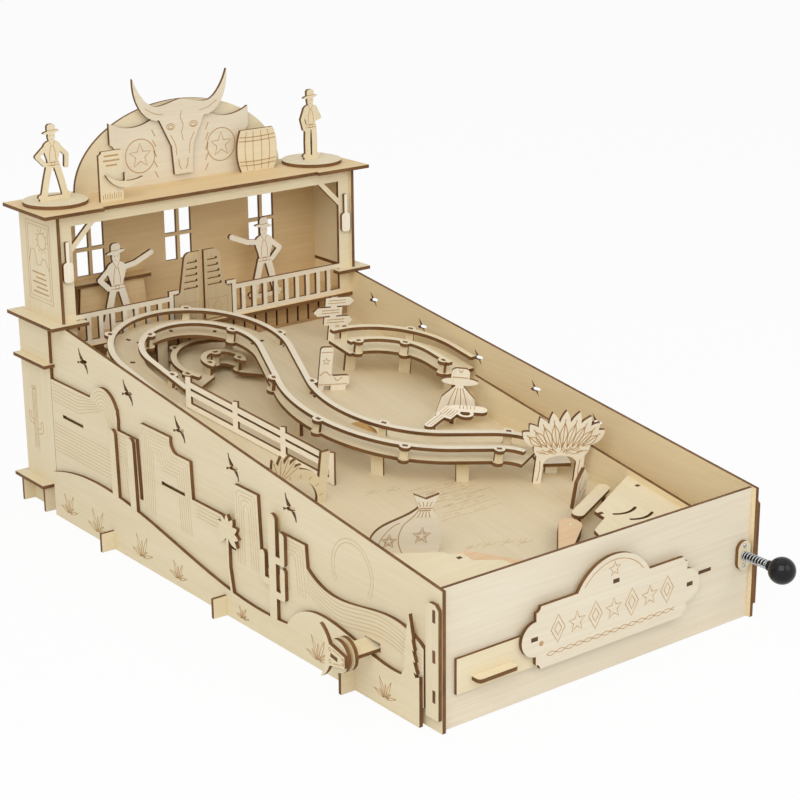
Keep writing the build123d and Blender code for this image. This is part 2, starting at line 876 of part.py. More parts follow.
def batwing_door():
    hinge = door_hinge(1)
    outside = hinge + ply / 2
    inside = door_center + door_gap / 2
    crown = (inside + door_width * door_crown, door_high)
    shoulder = (outside - 2 * ply, door_shoulder)
    profile = outline_of((inside, door_high), (inside, door_low), (outside, door_low),
                         (outside, door_shoulder), shoulder, crown)
    profile = fillet(profile.vertices().sort_by_distance(crown)[0], door_round)
    profile = fillet(profile.vertices().sort_by_distance(shoulder)[0], door_flare)
    for step in range(louvre_count):
        level = door_high - door_round - louvre_pitch * (step + 1) + louvre_height
        share = (door_high - level) / (door_high - door_shoulder)
        flank = crown[0] + (shoulder[0] - crown[0]) * share
        profile -= span(inside + door_frame, flank - door_frame, level, level + louvre_height)
    door = front_sheet(profile, porch_y)
    door += peg(hinge, deck_z, door_low + ply, peg_radius)
    return door + peg(hinge, door_shoulder - ply, door_shoulder + ply * 1.5, peg_radius)


def saloon_back():
    profile = span(-inner, inner, deck_z + ply, roof_z)
    for place in (-window_x, 0, window_x):
        profile -= span(place - window_width / 2, place - muntin / 2, window_low, window_high)
        profile -= span(place + muntin / 2, place + window_width / 2, window_low, window_high)
        middle = (window_low + window_high) / 2
        profile += span(place - window_width / 2, place + window_width / 2, middle - muntin / 2,
                        middle + muntin / 2)
    for side in (-1, 1):
        profile += span(side * window_x / 2 - tab_height, side * window_x / 2 + tab_height, roof_z,
                        roof_z + ply)
    return front_sheet(profile, back_y)


def roof():
    outline = span(-half - roof_reach, half + roof_reach, roof_front + roof_step, roof_back)
    for side in (-1, 1):
        edge = side * (half + roof_reach)
        step = side * (arch_half + roof_step)
        outline += span(min(edge, step), max(edge, step), roof_front, roof_back)
        outline -= span(side * window_x / 2 - tab_height - fit, side * window_x / 2 + tab_height + fit,
                        back_y - fit, back_y + ply + fit)
    return flat_sheet(outline, roof_z)


counter_left = -112.0
counter_right = -38.0
counter_height = 37.0
counter_y = back_y - 12.0


def bar_counter():
    base = deck_z + ply
    body = outline_of((counter_left + ply, base), (counter_right - ply, base),
                      (counter_right - 2 * ply, base + counter_height),
                      (counter_left + 2 * ply, base + counter_height))
    top = span(counter_left, counter_right, counter_y - ply, back_y)
    return group(front_sheet(body, counter_y), flat_sheet(top, base + counter_height))


# Figures: a person in a wide hat, with arms drawn for each pose
def figure(height, stance, arms):
    unit = height / 20
    shape = Pos(0, unit / 2) * Rectangle(2 * (stance + 1.2) * unit, unit)
    for side in (-1, 1):
        foot = (side * stance * unit, unit)
        knee = (side * (stance + 1.2) / 2 * unit, 4.8 * unit)
        shape += limb([foot, knee, (side * unit, 8.8 * unit)], 1.7 * unit)
        shape += Pos(foot[0] + side * unit / 3, unit) * Ellipse(1.3 * unit, 0.7 * unit)
    torso = Spline((1.8 * unit, 8 * unit), (1.6 * unit, 10.2 * unit), (2.4 * unit, 13.4 * unit),
                   (0.7 * unit, 14.9 * unit))
    collar, belt = torso @ 1, torso @ 0
    flank = make_face(torso + Polyline(collar, (0, collar.Y), (0, belt.Y), belt))
    shape += flank + mirror(flank, about=Plane.YZ)
    shape += Pos(0, 15.9 * unit) * Ellipse(unit, 1.5 * unit)
    shape += Pos(0, 17 * unit) * Rot(0, 0, 6) * Ellipse(2.3 * unit, 0.42 * unit)
    shape += Pos(0, 17.9 * unit) * RectangleRounded(2.3 * unit, 2.2 * unit, 0.8 * unit)
    for elbow, hand in arms:
        side = 1 if elbow[0] > 0 else -1
        points = [(side * 1.8, 13.3), elbow, hand]
        shape += limb([(x * unit, z * unit) for x, z in points], 1.2 * unit)
    return shape


at_hip = ((-4.3, 11.2), (-2.2, 9.0))
hanging = ((3.9, 11.0), (3.7, 8.2))
pointing = ((4.8, 13.8), (9.0, 15.6))
folded = ((2.9, 11.2), (0.6, 10.6))
tucked = ((-2.7, 11.0), (-2.0, 8.4))
wide_stance = 3.0
close_stance = 1.1
porch_figure_x = 76.0


def porch_figures():
    outline = figure(porch_figure, wide_stance, (at_hip, pointing))
    outline = Pos(-porch_figure_x, deck_z + ply) * outline
    return twin(front_sheet(outline, disc_y))


def roof_discs():
    return twin(flat_sheet(Pos(-disc_x, disc_y) * Circle(disc_radius), roof_z + ply))


def roof_figures():
    base = roof_z + 2 * ply
    left = Pos(-disc_x, base) * figure(roof_figure, wide_stance, (at_hip, hanging))
    right = Pos(disc_x, base) * figure(roof_figure, close_stance, (tucked, folded))
    return group(front_sheet(left, disc_y), front_sheet(right, disc_y))


# Boards on the roof: arch, banner, bull skull, barrel and plank
banner_width = 140.0
banner_height = 57.0
banner_scoop = 12.0
banner_sag = 6.0
banner_sag_half = 22.0
skull_width = 30.0
skull_height = 62.0
skull_foot = roof_z + 9.0
skull_reach = 47.0
skull_rise = 44.0
barrel_x = disc_x - 57.0
barrel_width = 34.0
barrel_height = 37.0
barrel_bulge = 4.0
plank_x = 40.0 - disc_x
plank_width = 22.0
plank_height = 42.0
plank_y = roof_front + 18.0
canoe_sheer = 5.0
canoe_depth = 7.0


def arch_board():
    outline = Ellipse(arch_half, arch_rise) & span(-arch_half, arch_half, 0, arch_rise)
    return front_sheet(Pos(0, roof_z + ply) * outline, arch_y)


def banner_board():
    outline = span(-banner_width / 2, banner_width / 2, 0, banner_height)
    for side in (-1, 1):
        outline -= Pos(side * (banner_width / 2 + banner_scoop / 2), banner_height / 2) * Circle(banner_scoop)
        bow = (banner_sag_half ** 2 + banner_sag ** 2) / (2 * banner_sag)
        middle = side * (banner_width / 2 - banner_sag_half)
        outline -= Pos(middle, banner_height - banner_sag + bow) * Circle(bow)
    return front_sheet(Pos(0, roof_z + ply) * outline, arch_y - ply)


def horn():
    tip = (skull_reach, skull_rise * 0.55)
    upper = Spline((0, skull_rise * 0.07), (skull_reach * 0.3, 0), (skull_reach * 0.58, -skull_rise * 0.02),
                   (skull_reach * 0.82, skull_rise * 0.18), tip)
    lower = Spline(tip, (skull_reach * 0.97, skull_rise * 0.2), (skull_reach * 0.84, -skull_rise * 0.1),
                   (skull_reach * 0.56, -skull_rise * 0.3))
    middle = Polyline(lower @ 1, (0, (lower @ 1).Y), upper @ 0)
    return make_face(lower + middle + upper)


def bull_skull():
    brow = skull_foot + skull_height
    temple = brow - skull_rise * 0.3
    cheek = brow - skull_height * 0.6
    wide = skull_width * 0.75
    half_face = outline_of((0, skull_foot), (skull_width * 0.3, skull_foot), (skull_width * 0.36, cheek),
                           (wide, temple), (wide, temple + ply), (0, temple + ply))
    face = half_face + mirror(half_face, about=Plane.YZ)
    face += Pos(0, brow) * (horn() + mirror(horn(), about=Plane.YZ))
    return front_sheet(face, arch_y - 2 * ply)


def barrel_board():
    low, high = roof_z + ply, roof_z + ply + barrel_height
    middle = (low + high) / 2
    left = ThreePointArc((-barrel_width / 2, low), (-barrel_width / 2 - barrel_bulge, middle),
                         (-barrel_width / 2, high))
    right = ThreePointArc((barrel_width / 2, high), (barrel_width / 2 + barrel_bulge, middle),
                          (barrel_width / 2, low))
    outline = make_face(left + Line(left @ 1, right @ 0) + right + Line(right @ 1, left @ 0))
    return front_sheet(Pos(barrel_x, 0) * outline, arch_y - 4 * ply)


def plank_sign():
    low = roof_z + ply
    plank = span(plank_x - plank_width / 2, plank_x + plank_width / 2, low, low + plank_height)
    plank -= Pos(plank_x - plank_width / 2, low + plank_height) * Circle(plank_width / 8)
    board = front_sheet(plank, plank_y)
    return group(board, front_sheet(canoe(), plank_y - ply))


def canoe():
    gunwale = roof_z + ply + plank_height * 0.42
    bow = (plank_x - plank_width * 0.3, gunwale + canoe_sheer)
    stern = (plank_x + plank_width * 1.3, gunwale)
    middle = (bow[0] + stern[0]) / 2
    bottom = ThreePointArc(bow, (middle, gunwale - canoe_depth), stern)
    top = ThreePointArc(stern, (middle, gunwale - canoe_sheer / 3), bow)
    thwart = span(middle, middle + ply / 2, gunwale - canoe_sheer, gunwale + canoe_sheer)
    return make_face(bottom + top) + thwart


bottle_width = 9.0
bottle_height = 34.0
bottle_low = deck_z + 60.0


def post_bottles():
    body = RectangleRounded(bottle_width, bottle_height / 2, bottle_width / 3)
    neck = Pos(0, bottle_height / 2) * Rectangle(bottle_width / 3, bottle_height / 2)
    outline = Pos(-inner + post_width / 2, bottle_low + bottle_height / 4) * (body + neck)
    return twin(front_sheet(outline, porch_y - ply))


# Track section: a floor and two rails, held apart by tabbed spacers
def left_of(heading):
    return Vector(-heading.Y, heading.X)


def ears(path, side, stations):
    places = []
    for station in stations:
        heading = path % station
        spot = (path @ station) + left_of(heading) * side * ear_shift
        places.append(Pos(spot.X, spot.Y) * Rot(0, 0, degrees(atan2(heading.Y, heading.X))))
    return places


def rail(plane, path, places):
    outline = trace(path, rail_width)
    for place in places:
        outline += place * Circle(ear_radius)
    for place in places:
        outline -= place * Rectangle(spacer_width + 2 * fit, ply + 2 * fit)
    return extrude(plane.offset(-ply) * outline, ply)


def track_floor(plane, path, places):
    outline = trace(path, track_gap + 2 * rail_width)
    for place in places:
        outline += place * Circle(ear_radius)
    for place in places:
        outline -= place * Rectangle(spacer_width + 2 * fit, ply + 2 * fit)
    return extrude(plane.offset(-track_depth) * outline, ply)


def spacers(plane, places):
    shape = Part()
    for place in places:
        tab = extrude(plane.offset(-track_depth) * place * Rectangle(spacer_width, ply), track_depth)
        body = place * Rectangle(spacer_width + 2 * spacer_shoulder, ply)
        shape += tab + extrude(plane.offset(-ply - rail_height) * body, rail_height)
    return shape


# Loop ramp: up the left wall, over the top, and down across the field
loop_center = Vector(loop_x, loop_y)
center_gap = sqrt((loop_radius + bend_radius) ** 2 + cross_run ** 2)
bearing = radians(cross_bearing)
bend_center = loop_center + Vector(cos(bearing), sin(bearing)) * center_gap


def loop_path(offset):
    away = bend_center - loop_center
    turn = atan2(away.Y, away.X) + acos((loop_radius + bend_radius) / away.length)
    out = Vector(cos(turn), sin(turn))
    side = loop_x - loop_radius - offset
    rise = Line((side, loop_y - entry_length), (side, loop_y))
    over = CenterArc(loop_center, loop_radius + offset, 180, degrees(turn) - 180)
    cross = Line(over @ 1, bend_center - out * (bend_radius - offset))
    bend = CenterArc(bend_center, bend_radius - offset, degrees(turn) + 180, bend_end - degrees(turn) - 180)
    leave = Line(bend @ 1, (bend @ 1) + (bend % 1) * exit_length)
    pivot_point = (leave @ 1) - left_of(bend % 1) * (exit_radius + offset)
    finish = CenterArc(pivot_point, exit_radius + offset, bend_end + 180, -exit_turn)
    return Wire([rise, over, cross, bend, leave, finish])


outer_stations = (0.04, 0.19, 0.34, 0.49, 0.64, 0.79, 0.96)
inner_stations = (0.05, 0.2, 0.36, 0.54, 0.68, 0.82, 0.96)
loop_outer = loop_path(rail_offset)
loop_inner = loop_path(-rail_offset)
outer_ears = ears(loop_outer, 1, outer_stations)
inner_ears = ears(loop_inner, -1, inner_stations)
loop_post_stations = (0.1, 0.27, 0.53, 0.62, 0.78, 0.9)


def loop_posts():
    path = loop_path(0)
    shape = Part()
    for station in loop_post_stations:
        spot = loop_top.from_local_coords(path @ station)
        heading = path % station
        turn = degrees(atan2(heading.Y, heading.X))
        shape += post_between(spot.X, spot.Y, turn, post_wide, loop_top.offset(-track_depth))
    return shape


# Entry ramp: a tapered board from the field up to the loop's floor
ramp_top_y = (loop_y - entry_length) * cos(loop_tilt) + (track_depth - ply) * sin(loop_tilt)
ramp_left = -inner + slide_gap
ramp_right = loop_x - loop_radius + rail_offset


def ramp_height(y):
    top = loop_top.from_local_coords(Vector(0, loop_y - entry_length, ply - track_depth)).Z
    share = (y - ramp_foot) / (ramp_top_y - ramp_foot)
    return field_z(ramp_foot) + share * (top - field_z(ramp_foot))


def entry_ramp():
    rise = (ramp_height(ramp_top_y) - ramp_height(ramp_foot)) / (ramp_top_y - ramp_foot)
    heel = ramp_foot + ply / (rise - tan(tilt))
    profile = outline_of((ramp_foot, field_z(ramp_foot)), (ramp_top_y, ramp_height(ramp_top_y)),
                         (ramp_top_y, ramp_height(ramp_top_y) - ply), (heel, field_z(heel)))
    plan = outline_of((ramp_left, ramp_foot), (ramp_left + 2 * ramp_foot_half, ramp_foot),
                      (ramp_right, ramp_top_y), (ramp_left, ramp_top_y))
    return side_sheet(profile, -half, half) & flat_sheet(plan, 0, tall)


def ramp_fence():
    start = (ramp_left + 2 * ramp_foot_half - ply, ramp_foot + ply)
    end = (ramp_right - ply, ramp_top_y - 2 * ply)
    length = dist(start, end)
    rise = (ramp_height(end[1]) - ramp_height(start[1])) / (end[1] - start[1])
    seat = ply / 2 * rise * abs(end[0] - start[0]) / length
    low, high = ramp_height(start[1]) + seat, ramp_height(end[1]) + seat

    def bar(lift):
        return outline_of((0, low + lift), (length, high + lift), (length, high + lift + fence_bar),
                          (0, low + lift + fence_bar))

    profile = bar(0) + bar(fence_height / 2) + bar(fence_height - fence_bar)
    post_step = (length - fence_bar) / 3
    for step in range(4):
        place = step * post_step
        ground = low + (high - low) * place / length
        profile += span(place, place + fence_bar, ground + fence_bar, ground + fence_height + fence_bar)
    turn = atan2(end[1] - start[1], end[0] - start[0])
    along = Vector(cos(turn), sin(turn))
    plane = Plane(origin=(start[0], start[1], 0), x_dir=along, z_dir=along.cross(Vector(0, 0, 1)))
    return extrude(plane * profile, ply / 2, both=True)


# Arch over the foot of the entry ramp
entry_arch_x = -inner + 34.0
entry_arch_y = ramp_foot - 12.0
entry_arch_half = 32.0
entry_arch_height = 44.0
agave_pairs = 3
agave_spread = 60.0


def entry_arch():
    wide, high = entry_arch_half, entry_arch_height
    outline = Ellipse(wide, high * 0.8) - Ellipse(wide * 0.78, high * 0.6)
    outline &= span(-wide, wide, 0, high)
    outline += span(wide * 0.76, wide, 0, high)
    for step in range(-agave_pairs, agave_pairs + 1):
        blade = leaf(high / 2, leaf_width, step * agave_spread / agave_pairs)
        outline += Pos(-wide * 0.38, high * 0.62) * blade
    return standing_sheet(outline, entry_arch_x, entry_arch_y)


# Spiral track below the loop
spiral_top = field.offset(spiral_lift + track_depth)
spiral_start = -40.0
spiral_sweep = 250.0
spiral_post_stations = (0.15, 0.5, 0.85)


def spiral_path(radius):
    return Wire([CenterArc((spiral_x, up_field(spiral_y)), radius, spiral_start, spiral_sweep)])


spiral_out = spiral_path(spiral_radius + rail_offset)
spiral_in = spiral_path(spiral_radius - rail_offset)
spiral_outer_ears = ears(spiral_out, -1, (0.06, 0.36, 0.66, 0.94))
spiral_inner_ears = ears(spiral_in, 1, (0.1, 0.5, 0.9))
spiral_ears = spiral_outer_ears + spiral_inner_ears


def spiral_posts():
    shape = Part()
    path = spiral_path(spiral_radius)
    for station in spiral_post_stations:
        spot = path @ station
        turn = degrees(atan2((path % station).Y, (path % station).X))
        outline = Pos(spot.X, spot.Y) * Rot(0, 0, turn) * Rectangle(post_wide, ply)
        shape += field_sheet(outline, 0, spiral_lift)
    return shape


# Side track at the head of the plunger lane
side_top = field.offset(side_lift + track_depth)
side_post_stations = (0.1, 0.5, 0.9)


def side_path(radius):
    center = Vector(side_x, up_field(side_y))
    run = Line(center + Vector(radius, -side_run), center + Vector(radius, 0))
    curve = CenterArc(center, radius, 0, 90)
    end = Line(curve @ 1, (curve @ 1) - Vector(rail_width, 0))
    return Wire([run, curve, end])


side_out = side_path(side_radius + rail_offset)
side_in = side_path(side_radius - rail_offset)
side_outer_ears = ears(side_out, -1, (0.5, 0.9))
side_inner_ears = ears(side_in, 1, (0.06, 0.5, 0.92))
side_ears = side_outer_ears + side_inner_ears


def side_posts():
    shape = Part()
    path = side_path(side_radius)
    for station in side_post_stations:
        spot = path @ station
        turn = degrees(atan2((path % station).Y, (path % station).X))
        outline = Pos(spot.X, spot.Y) * Rot(0, 0, turn) * Rectangle(post_wide, ply)
        shape += field_sheet(outline, 0, side_lift)
    return shape


# Obstacles and guides on the field
bush_x = divider_x - 26.0
bush_y = 166.0
bush_turn = -24.0
bush_width = 40.0
bush_height = 54.0
bush_mouth = 27.0
bush_mouth_height = 24.0
bush_leaves = 4
bush_spread = 52.0
shelf_depth = 16.0
shelf_gap = 8.0
rock_place = (divider_x - 35.0, flipper_y + 36.0, 25.0)
rock_size = 19.0
bag_place = (-inner + 73.0, flipper_y + 38.0, -25.0)
bag_width = 28.0
bag_height = 50.0
boot_place = (side_x - 36.0, side_y + 36.0, -20.0)
boot_height = 40.0
boot_leg = 11.0
boot_length = 27.0
boot_heel = 5.0
signpost_place = (inner - 49.0, porch_y - 35.0, -15.0)
signpost_height = 42.0
arrow_length = 27.0
arrow_width = 8.0
hat_place = (divider_x - 21.0, side_y - 50.0, -38.0)
hat_half = 17.0
hat_stand = 30.0
revolver_place = (divider_x - 71.0, side_y - 74.0, 24.0)
revolver_barrel = 38.0
revolver_bore = 7.0
revolver_grip = 12.0


def bush_arch():
    crown = bush_height - bush_mouth_height
    outline = span(-bush_width / 2, bush_width / 2, 0, bush_mouth_height)
    outline += Pos(0, bush_mouth_height + crown / 4) * Ellipse(bush_width * 0.58, crown / 2)
    for step in range(-bush_leaves, bush_leaves + 1):
        share = step / bush_leaves
        tuft = leaf(crown * (1 - share * share / 3), crown / 3, -share * bush_spread)
        outline += Pos(share * bush_width * 0.45, bush_mouth_height + crown * 0.3) * tuft
    mouth = span(-bush_mouth / 2, bush_mouth / 2, 0, bush_mouth_height * 0.7)
    mouth += Pos(0, bush_mouth_height * 0.7) * Ellipse(bush_mouth / 2, bush_mouth_height * 0.3)
    return standing_sheet(outline - mouth, bush_x, bush_y, bush_turn)


def landing_shelf():
    place = Pos(bush_x, up_field(bush_y)) * Rot(0, 0, bush_turn)
    outline = place * span(-bush_mouth / 2, bush_mouth / 2, shelf_gap, shelf_gap + shelf_depth)
    stand = place * Pos(0, shelf_gap + shelf_depth / 2) * Rectangle(post_wide, ply)
    return group(field_sheet(outline, guide_lift), field_sheet(stand, 0, guide_lift))


def rock_board():
    size = rock_size
    outline = outline_of((-size * 0.6, 0), (size * 0.6, 0), (size * 0.7, size), (size * 0.1, size * 1.6),
                         (-size * 0.5, size * 1.2))
    return standing_sheet(outline, *rock_place)


def money_bags():
    wide, tie = bag_width, bag_height * 0.78
    heap = Spline((-wide, 0), (-wide * 0.78, tie * 0.6), (-wide * 0.2, tie * 0.82), (wide * 0.16, tie))
    side = Spline((wide * 0.52, tie), (wide * 0.78, tie * 0.64), (wide * 0.8, 0))
    ruffle = Polyline(heap @ 1, (0, bag_height), (wide * 0.34, bag_height * 0.92), (wide * 0.68, bag_height),
                      side @ 0)
    outline = make_face(heap + ruffle + side + Line(side @ 1, heap @ 0))
    return standing_sheet(outline, *bag_place)


def boot():
    back = -boot_leg / 2
    sole = boot_heel * 0.9
    outline = span(back, back + boot_leg, sole, boot_height)
    outline += span(back, back + boot_length, sole, sole + boot_leg * 0.8)
    outline = fillet(outline.vertices(), boot_heel / 2)
    outline += span(back, back + boot_heel, 0, 2 * boot_heel)
    outline += span(back + boot_leg, back + boot_length - boot_heel / 2, 0, 2 * boot_heel)
    return standing_sheet(outline, *boot_place)


def signpost():
    outline = span(-ply, ply, 0, signpost_height)
    tail, tip = arrow_length * 0.3, arrow_length * 0.7
    for step, side in enumerate((1, -1, 1)):
        level = signpost_height - arrow_width * (0.6 + 1.15 * step)
        low, high = level - arrow_width / 2, level + arrow_width / 2
        outline += outline_of((-side * tail, low), (side * (tip - arrow_width / 2), low), (side * tip, level),
                              (side * (tip - arrow_width / 2), high), (-side * tail, high))
    return standing_sheet(outline, *signpost_place)


def hat_board():
    collar = hat_stand * 0.86
    cloak = outline_of((0, 0), (hat_half, 0), (hat_half * 0.8, hat_stand / 2), (hat_half / 5, collar),
                       (hat_half / 5, hat_stand), (0, hat_stand))
    outline = cloak + mirror(cloak, about=Plane.YZ)
    outline += Pos(0, hat_stand) * Ellipse(hat_half * 0.9, hat_half / 5)
    top = RectangleRounded(hat_half * 0.9, hat_half * 0.7, hat_half / 4)
    outline += Pos(0, hat_stand + hat_half * 0.35) * top
    return standing_sheet(outline, *hat_place)


def revolver_guide():
    x, y, turn = revolver_place
    place = Pos(x, up_field(y)) * Rot(0, 0, turn)
    frame_length = 3 * revolver_bore
    guard = (revolver_barrel, -2 * revolver_bore)
    heel = (revolver_barrel + 2 * revolver_bore, -3 * revolver_bore)
    shape = limb([(0, 0), (revolver_barrel, 0)], revolver_bore)
    frame_place = Pos(revolver_barrel - frame_length / 3, -revolver_bore / 3)
    shape += frame_place * Rectangle(frame_length, 2 * revolver_bore)
    shape += limb([(revolver_barrel + revolver_bore / 2, -revolver_bore / 2), heel], revolver_grip)
    shape += Pos(*guard) * Circle(revolver_bore) - Pos(*guard) * Circle(revolver_bore * 0.6)
    stands = [place * Pos(revolver_bore, 0), place * Pos(revolver_barrel, -revolver_bore / 2)]
    feet = [field_sheet(spot * Rectangle(spacer_width, spacer_width), 0, guide_lift) for spot in stands]
    return group(field_sheet(place * shape, guide_lift), *feet)


bumper_x = 2.0
bumper_y = 293.0
bumper_radius = 14.0
bumper_height = 14.0


def bumper():
    profile = make_face(Polyline((0, 0), (bumper_radius * 0.7, 0), (bumper_radius * 0.7, bumper_height * 0.4),
                                 (bumper_radius, bumper_height * 0.5), (bumper_radius, bumper_height * 0.65),
                                 (bumper_radius * 0.5, bumper_height), (0, bumper_height), (0, 0)))
    base = field.from_local_coords(Vector(bumper_x, up_field(bumper_y), 0))
    plane = Plane(origin=base, x_dir=(1, 0, 0), z_dir=field.x_dir.cross(field.z_dir))
    axis = Axis(base, field.z_dir)
    return revolve(plane * profile, axis)


# Nodes
wall = side_wall()
crank = group(flipper_shaft(), flipper_crank())
bar, head = button_bar(), button_head()
loop_ears = outer_ears + inner_ears
spiral_rails = group(rail(spiral_top, spiral_out, spiral_outer_ears),
                     rail(spiral_top, spiral_in, spiral_inner_ears))
side_rails = group(rail(side_top, side_out, side_outer_ears), rail(side_top, side_in, side_inner_ears))
nodes = {
    "left_side_wall": wall,
    "right_side_wall": mirror(wall, about=Plane.YZ),
    "corner_strips": twin(corner_strip()),
    "landscape_layers": twin(landscape()),
    "skirt_layers": twin(skirt()),
    "cross_ribs": group(*[cross_rib(station) for station in rib_stations]),
    "front_panel": front_panel(),
    "back_panel": back_panel(),
    "playfield": playfield(),
    "lane_divider": lane_divider(),
    "apron_plates": aprons(),
    "lane_guides": twin(lane_guide()),
    "left_flipper": flipper(),
    "right_flipper": mirror(flipper(), about=Plane.YZ),
    "left_flipper_crank": crank,
    "right_flipper_crank": mirror(crank, about=Plane.YZ),
    "left_button_bar": bar,
    "right_button_bar": mirror(bar, about=Plane.YZ),
    "left_button_head": head,
    "right_button_head": mirror(head, about=Plane.YZ),
    "plunger_plate": plunger_plate(),
    "plunger_rod": plunger_rod(),
    "plunger_knob": plunger_knob(),
    "plunger_spring": plunger_spring(),
    "ball_hatch": hatch(),
    "hatch_handle": hatch_handle(),
    "hatch_pin": pivot_pin(),
    "front_sign": front_sign(),
    "sign_spacers": sign_spacers(),
    "ball_tray": ball_tray(),
    "steel_ball": steel_ball(),
    "tower_sides": twin(tower_side()),
    "tower_ledges": twin(group(upper_ledge(), lower_ledges())),
    "tower_pilasters": twin(group(pilasters(), plinth_feet())),
    "porch_deck": porch_deck(),
    "porch_riser": riser(),
    "porch_frame": porch_frame(),
    "porch_railings": group(railing(-1), railing(1)),
    "left_batwing_door": mirror(batwing_door(), about=Plane.YZ.offset(door_center)),
    "right_batwing_door": batwing_door(),
    "saloon_back_wall": saloon_back(),
    "saloon_roof": roof(),
    "bar_counter": bar_counter(),
    "porch_figures": group(porch_figures(), post_bottles()),
    "roof_figures": group(roof_figures(), roof_discs()),
    "arch_board": arch_board(),
    "banner_board": banner_board(),
    "bull_skull": bull_skull(),
    "roof_props": group(barrel_board(), plank_sign()),
    "loop_floor": track_floor(loop_top, loop_path(0), loop_ears),
    "loop_rails": group(rail(loop_top, loop_outer, outer_ears), rail(loop_top, loop_inner, inner_ears)),
    "loop_spacers": group(spacers(loop_top, loop_ears), loop_posts()),
    "entry_ramp": entry_ramp(),
    "ramp_fence": ramp_fence(),
    "entry_arch": entry_arch(),
    "spiral_track": group(track_floor(spiral_top, spiral_path(spiral_radius), spiral_ears), spiral_rails,
                          spacers(spiral_top, spiral_ears), spiral_posts()),
    "side_track": group(track_floor(side_top, side_path(side_radius), side_ears), side_rails,
                        spacers(side_top, side_ears), side_posts()),
    "field_boards": group(bush_arch(), landing_shelf(), rock_board(), money_bags()),
    "lane_boards": group(boot(), signpost(), hat_board(), revolver_guide()),
    "bumper": bumper(),
}
home = Pos(0, -origin_y, 0)
os.makedirs("parts", exist_ok=True)
for name, shape in nodes.items():
    export_step(home * shape, f"parts/{name}.step")
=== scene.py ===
import bpy
import bmesh
import math
import random
from mathutils import Matrix, Vector


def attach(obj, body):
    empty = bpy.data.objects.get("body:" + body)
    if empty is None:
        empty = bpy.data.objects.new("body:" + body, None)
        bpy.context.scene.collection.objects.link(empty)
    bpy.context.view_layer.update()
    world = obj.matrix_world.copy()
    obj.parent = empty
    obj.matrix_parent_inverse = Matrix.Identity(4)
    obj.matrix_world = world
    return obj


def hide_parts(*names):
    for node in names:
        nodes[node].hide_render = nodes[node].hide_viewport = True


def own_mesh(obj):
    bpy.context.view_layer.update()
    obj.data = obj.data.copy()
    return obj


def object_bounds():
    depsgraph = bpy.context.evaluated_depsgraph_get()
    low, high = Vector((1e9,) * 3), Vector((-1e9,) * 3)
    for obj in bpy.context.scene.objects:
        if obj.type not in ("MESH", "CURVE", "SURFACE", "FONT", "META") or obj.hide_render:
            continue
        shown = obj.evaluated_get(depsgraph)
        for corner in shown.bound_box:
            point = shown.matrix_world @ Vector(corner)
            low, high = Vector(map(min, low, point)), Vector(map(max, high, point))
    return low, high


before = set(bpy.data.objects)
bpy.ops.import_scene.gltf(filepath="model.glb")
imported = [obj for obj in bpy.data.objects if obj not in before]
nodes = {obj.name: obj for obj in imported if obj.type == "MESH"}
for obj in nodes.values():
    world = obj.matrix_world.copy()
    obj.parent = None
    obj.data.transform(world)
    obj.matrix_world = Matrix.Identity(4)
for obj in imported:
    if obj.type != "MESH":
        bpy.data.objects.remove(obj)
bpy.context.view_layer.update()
scene = bpy.context.scene
print("frame loaded:", len(nodes), "nodes")

boxFront = 0.251  # the walls' front ends lie this far before the frame's origin


def place(x, y, z):
    return Vector((x / 1000, y / 1000 - boxFront, z / 1000))  # mm from the walls' front ends


def srgb(r, g, b):
    def linear(c):
        c /= 255
        return c / 12.92 if c <= 0.04045 else ((c + 0.055) / 1.055) ** 2.4
    return (linear(r), linear(g), linear(b), 1.0)


# each noise has its length and width in metres, its detail and its share of the mask
grainLook = {"noises": ((0.07, 0.0026, 5.0, 0.5), (0.2, 0.022, 2.0, 0.38), (0.012, 0.0005, 2.0, 0.12)),
             "span": (0.36, 0.66), "roughness": (0.52, 0.68), "bump": (0.12, 0.0002), "specular": 0.3}
edgeLook = {"noises": ((0.05, 0.05, 2.0, 0.5), (0.012, 0.012, 4.0, 0.6)), "plies": 3.0, "glueFrom": 0.4,
            "glueShare": 0.3, "glueLevel": 0.1, "span": (0.35, 0.9), "roughness": (0.6, 0.85),
            "bump": (0.2, 0.0002), "specular": 0.2}
speckLook = {"detail": 4.0, "bump": (0.04, 0.0001), "specular": 0.5}
mixSockets = {"factor": 0, "first": 6, "second": 7, "result": 2}  # a mix node's sockets share their names


def wire(tree, start, end):
    tree.links.new(start, end)


def feed(tree, socket, value):
    if isinstance(value, (int, float)):
        socket.default_value = value
    else:
        wire(tree, value, socket)


def mathNode(tree, operation, *values):
    node = tree.nodes.new("ShaderNodeMath")
    node.operation = operation
    for socket, value in zip(node.inputs, values):
        feed(tree, socket, value)
    return node.outputs[0]


def setInputs(node, values):
    for name, value in values.items():
        node.inputs[name].default_value = value


def mapRange(tree, value, end, limits):
    node = tree.nodes.new("ShaderNodeMapRange")
    for label, limit in zip((" Min", " Max"), limits):
        feed(tree, node.inputs[end + label], limit)
    wire(tree, value, node.inputs["Value"])
    return node.outputs["Result"]


def stretchedNoise(tree, vector, length, width, detail):
    mapping = tree.nodes.new("ShaderNodeMapping")
    setInputs(mapping, {"Scale": (1 / length, 1 / width, 1.0)})
    noise = tree.nodes.new("ShaderNodeTexNoise")
    setInputs(noise, {"Scale": 1.0, "Detail": detail})
    wire(tree, vector, mapping.inputs["Vector"])
    wire(tree, mapping.outputs["Vector"], noise.inputs["Vector"])
    return noise.outputs["Fac"]


def noiseMask(tree, vector, looks):
    total = 0.0
    for length, width, detail, share in looks:
        noise = stretchedNoise(tree, vector, length, width, detail)
        total = mathNode(tree, "ADD", total, mathNode(tree, "MULTIPLY", noise, share))
    return total, noise  # the finest noise comes last and also gives the height


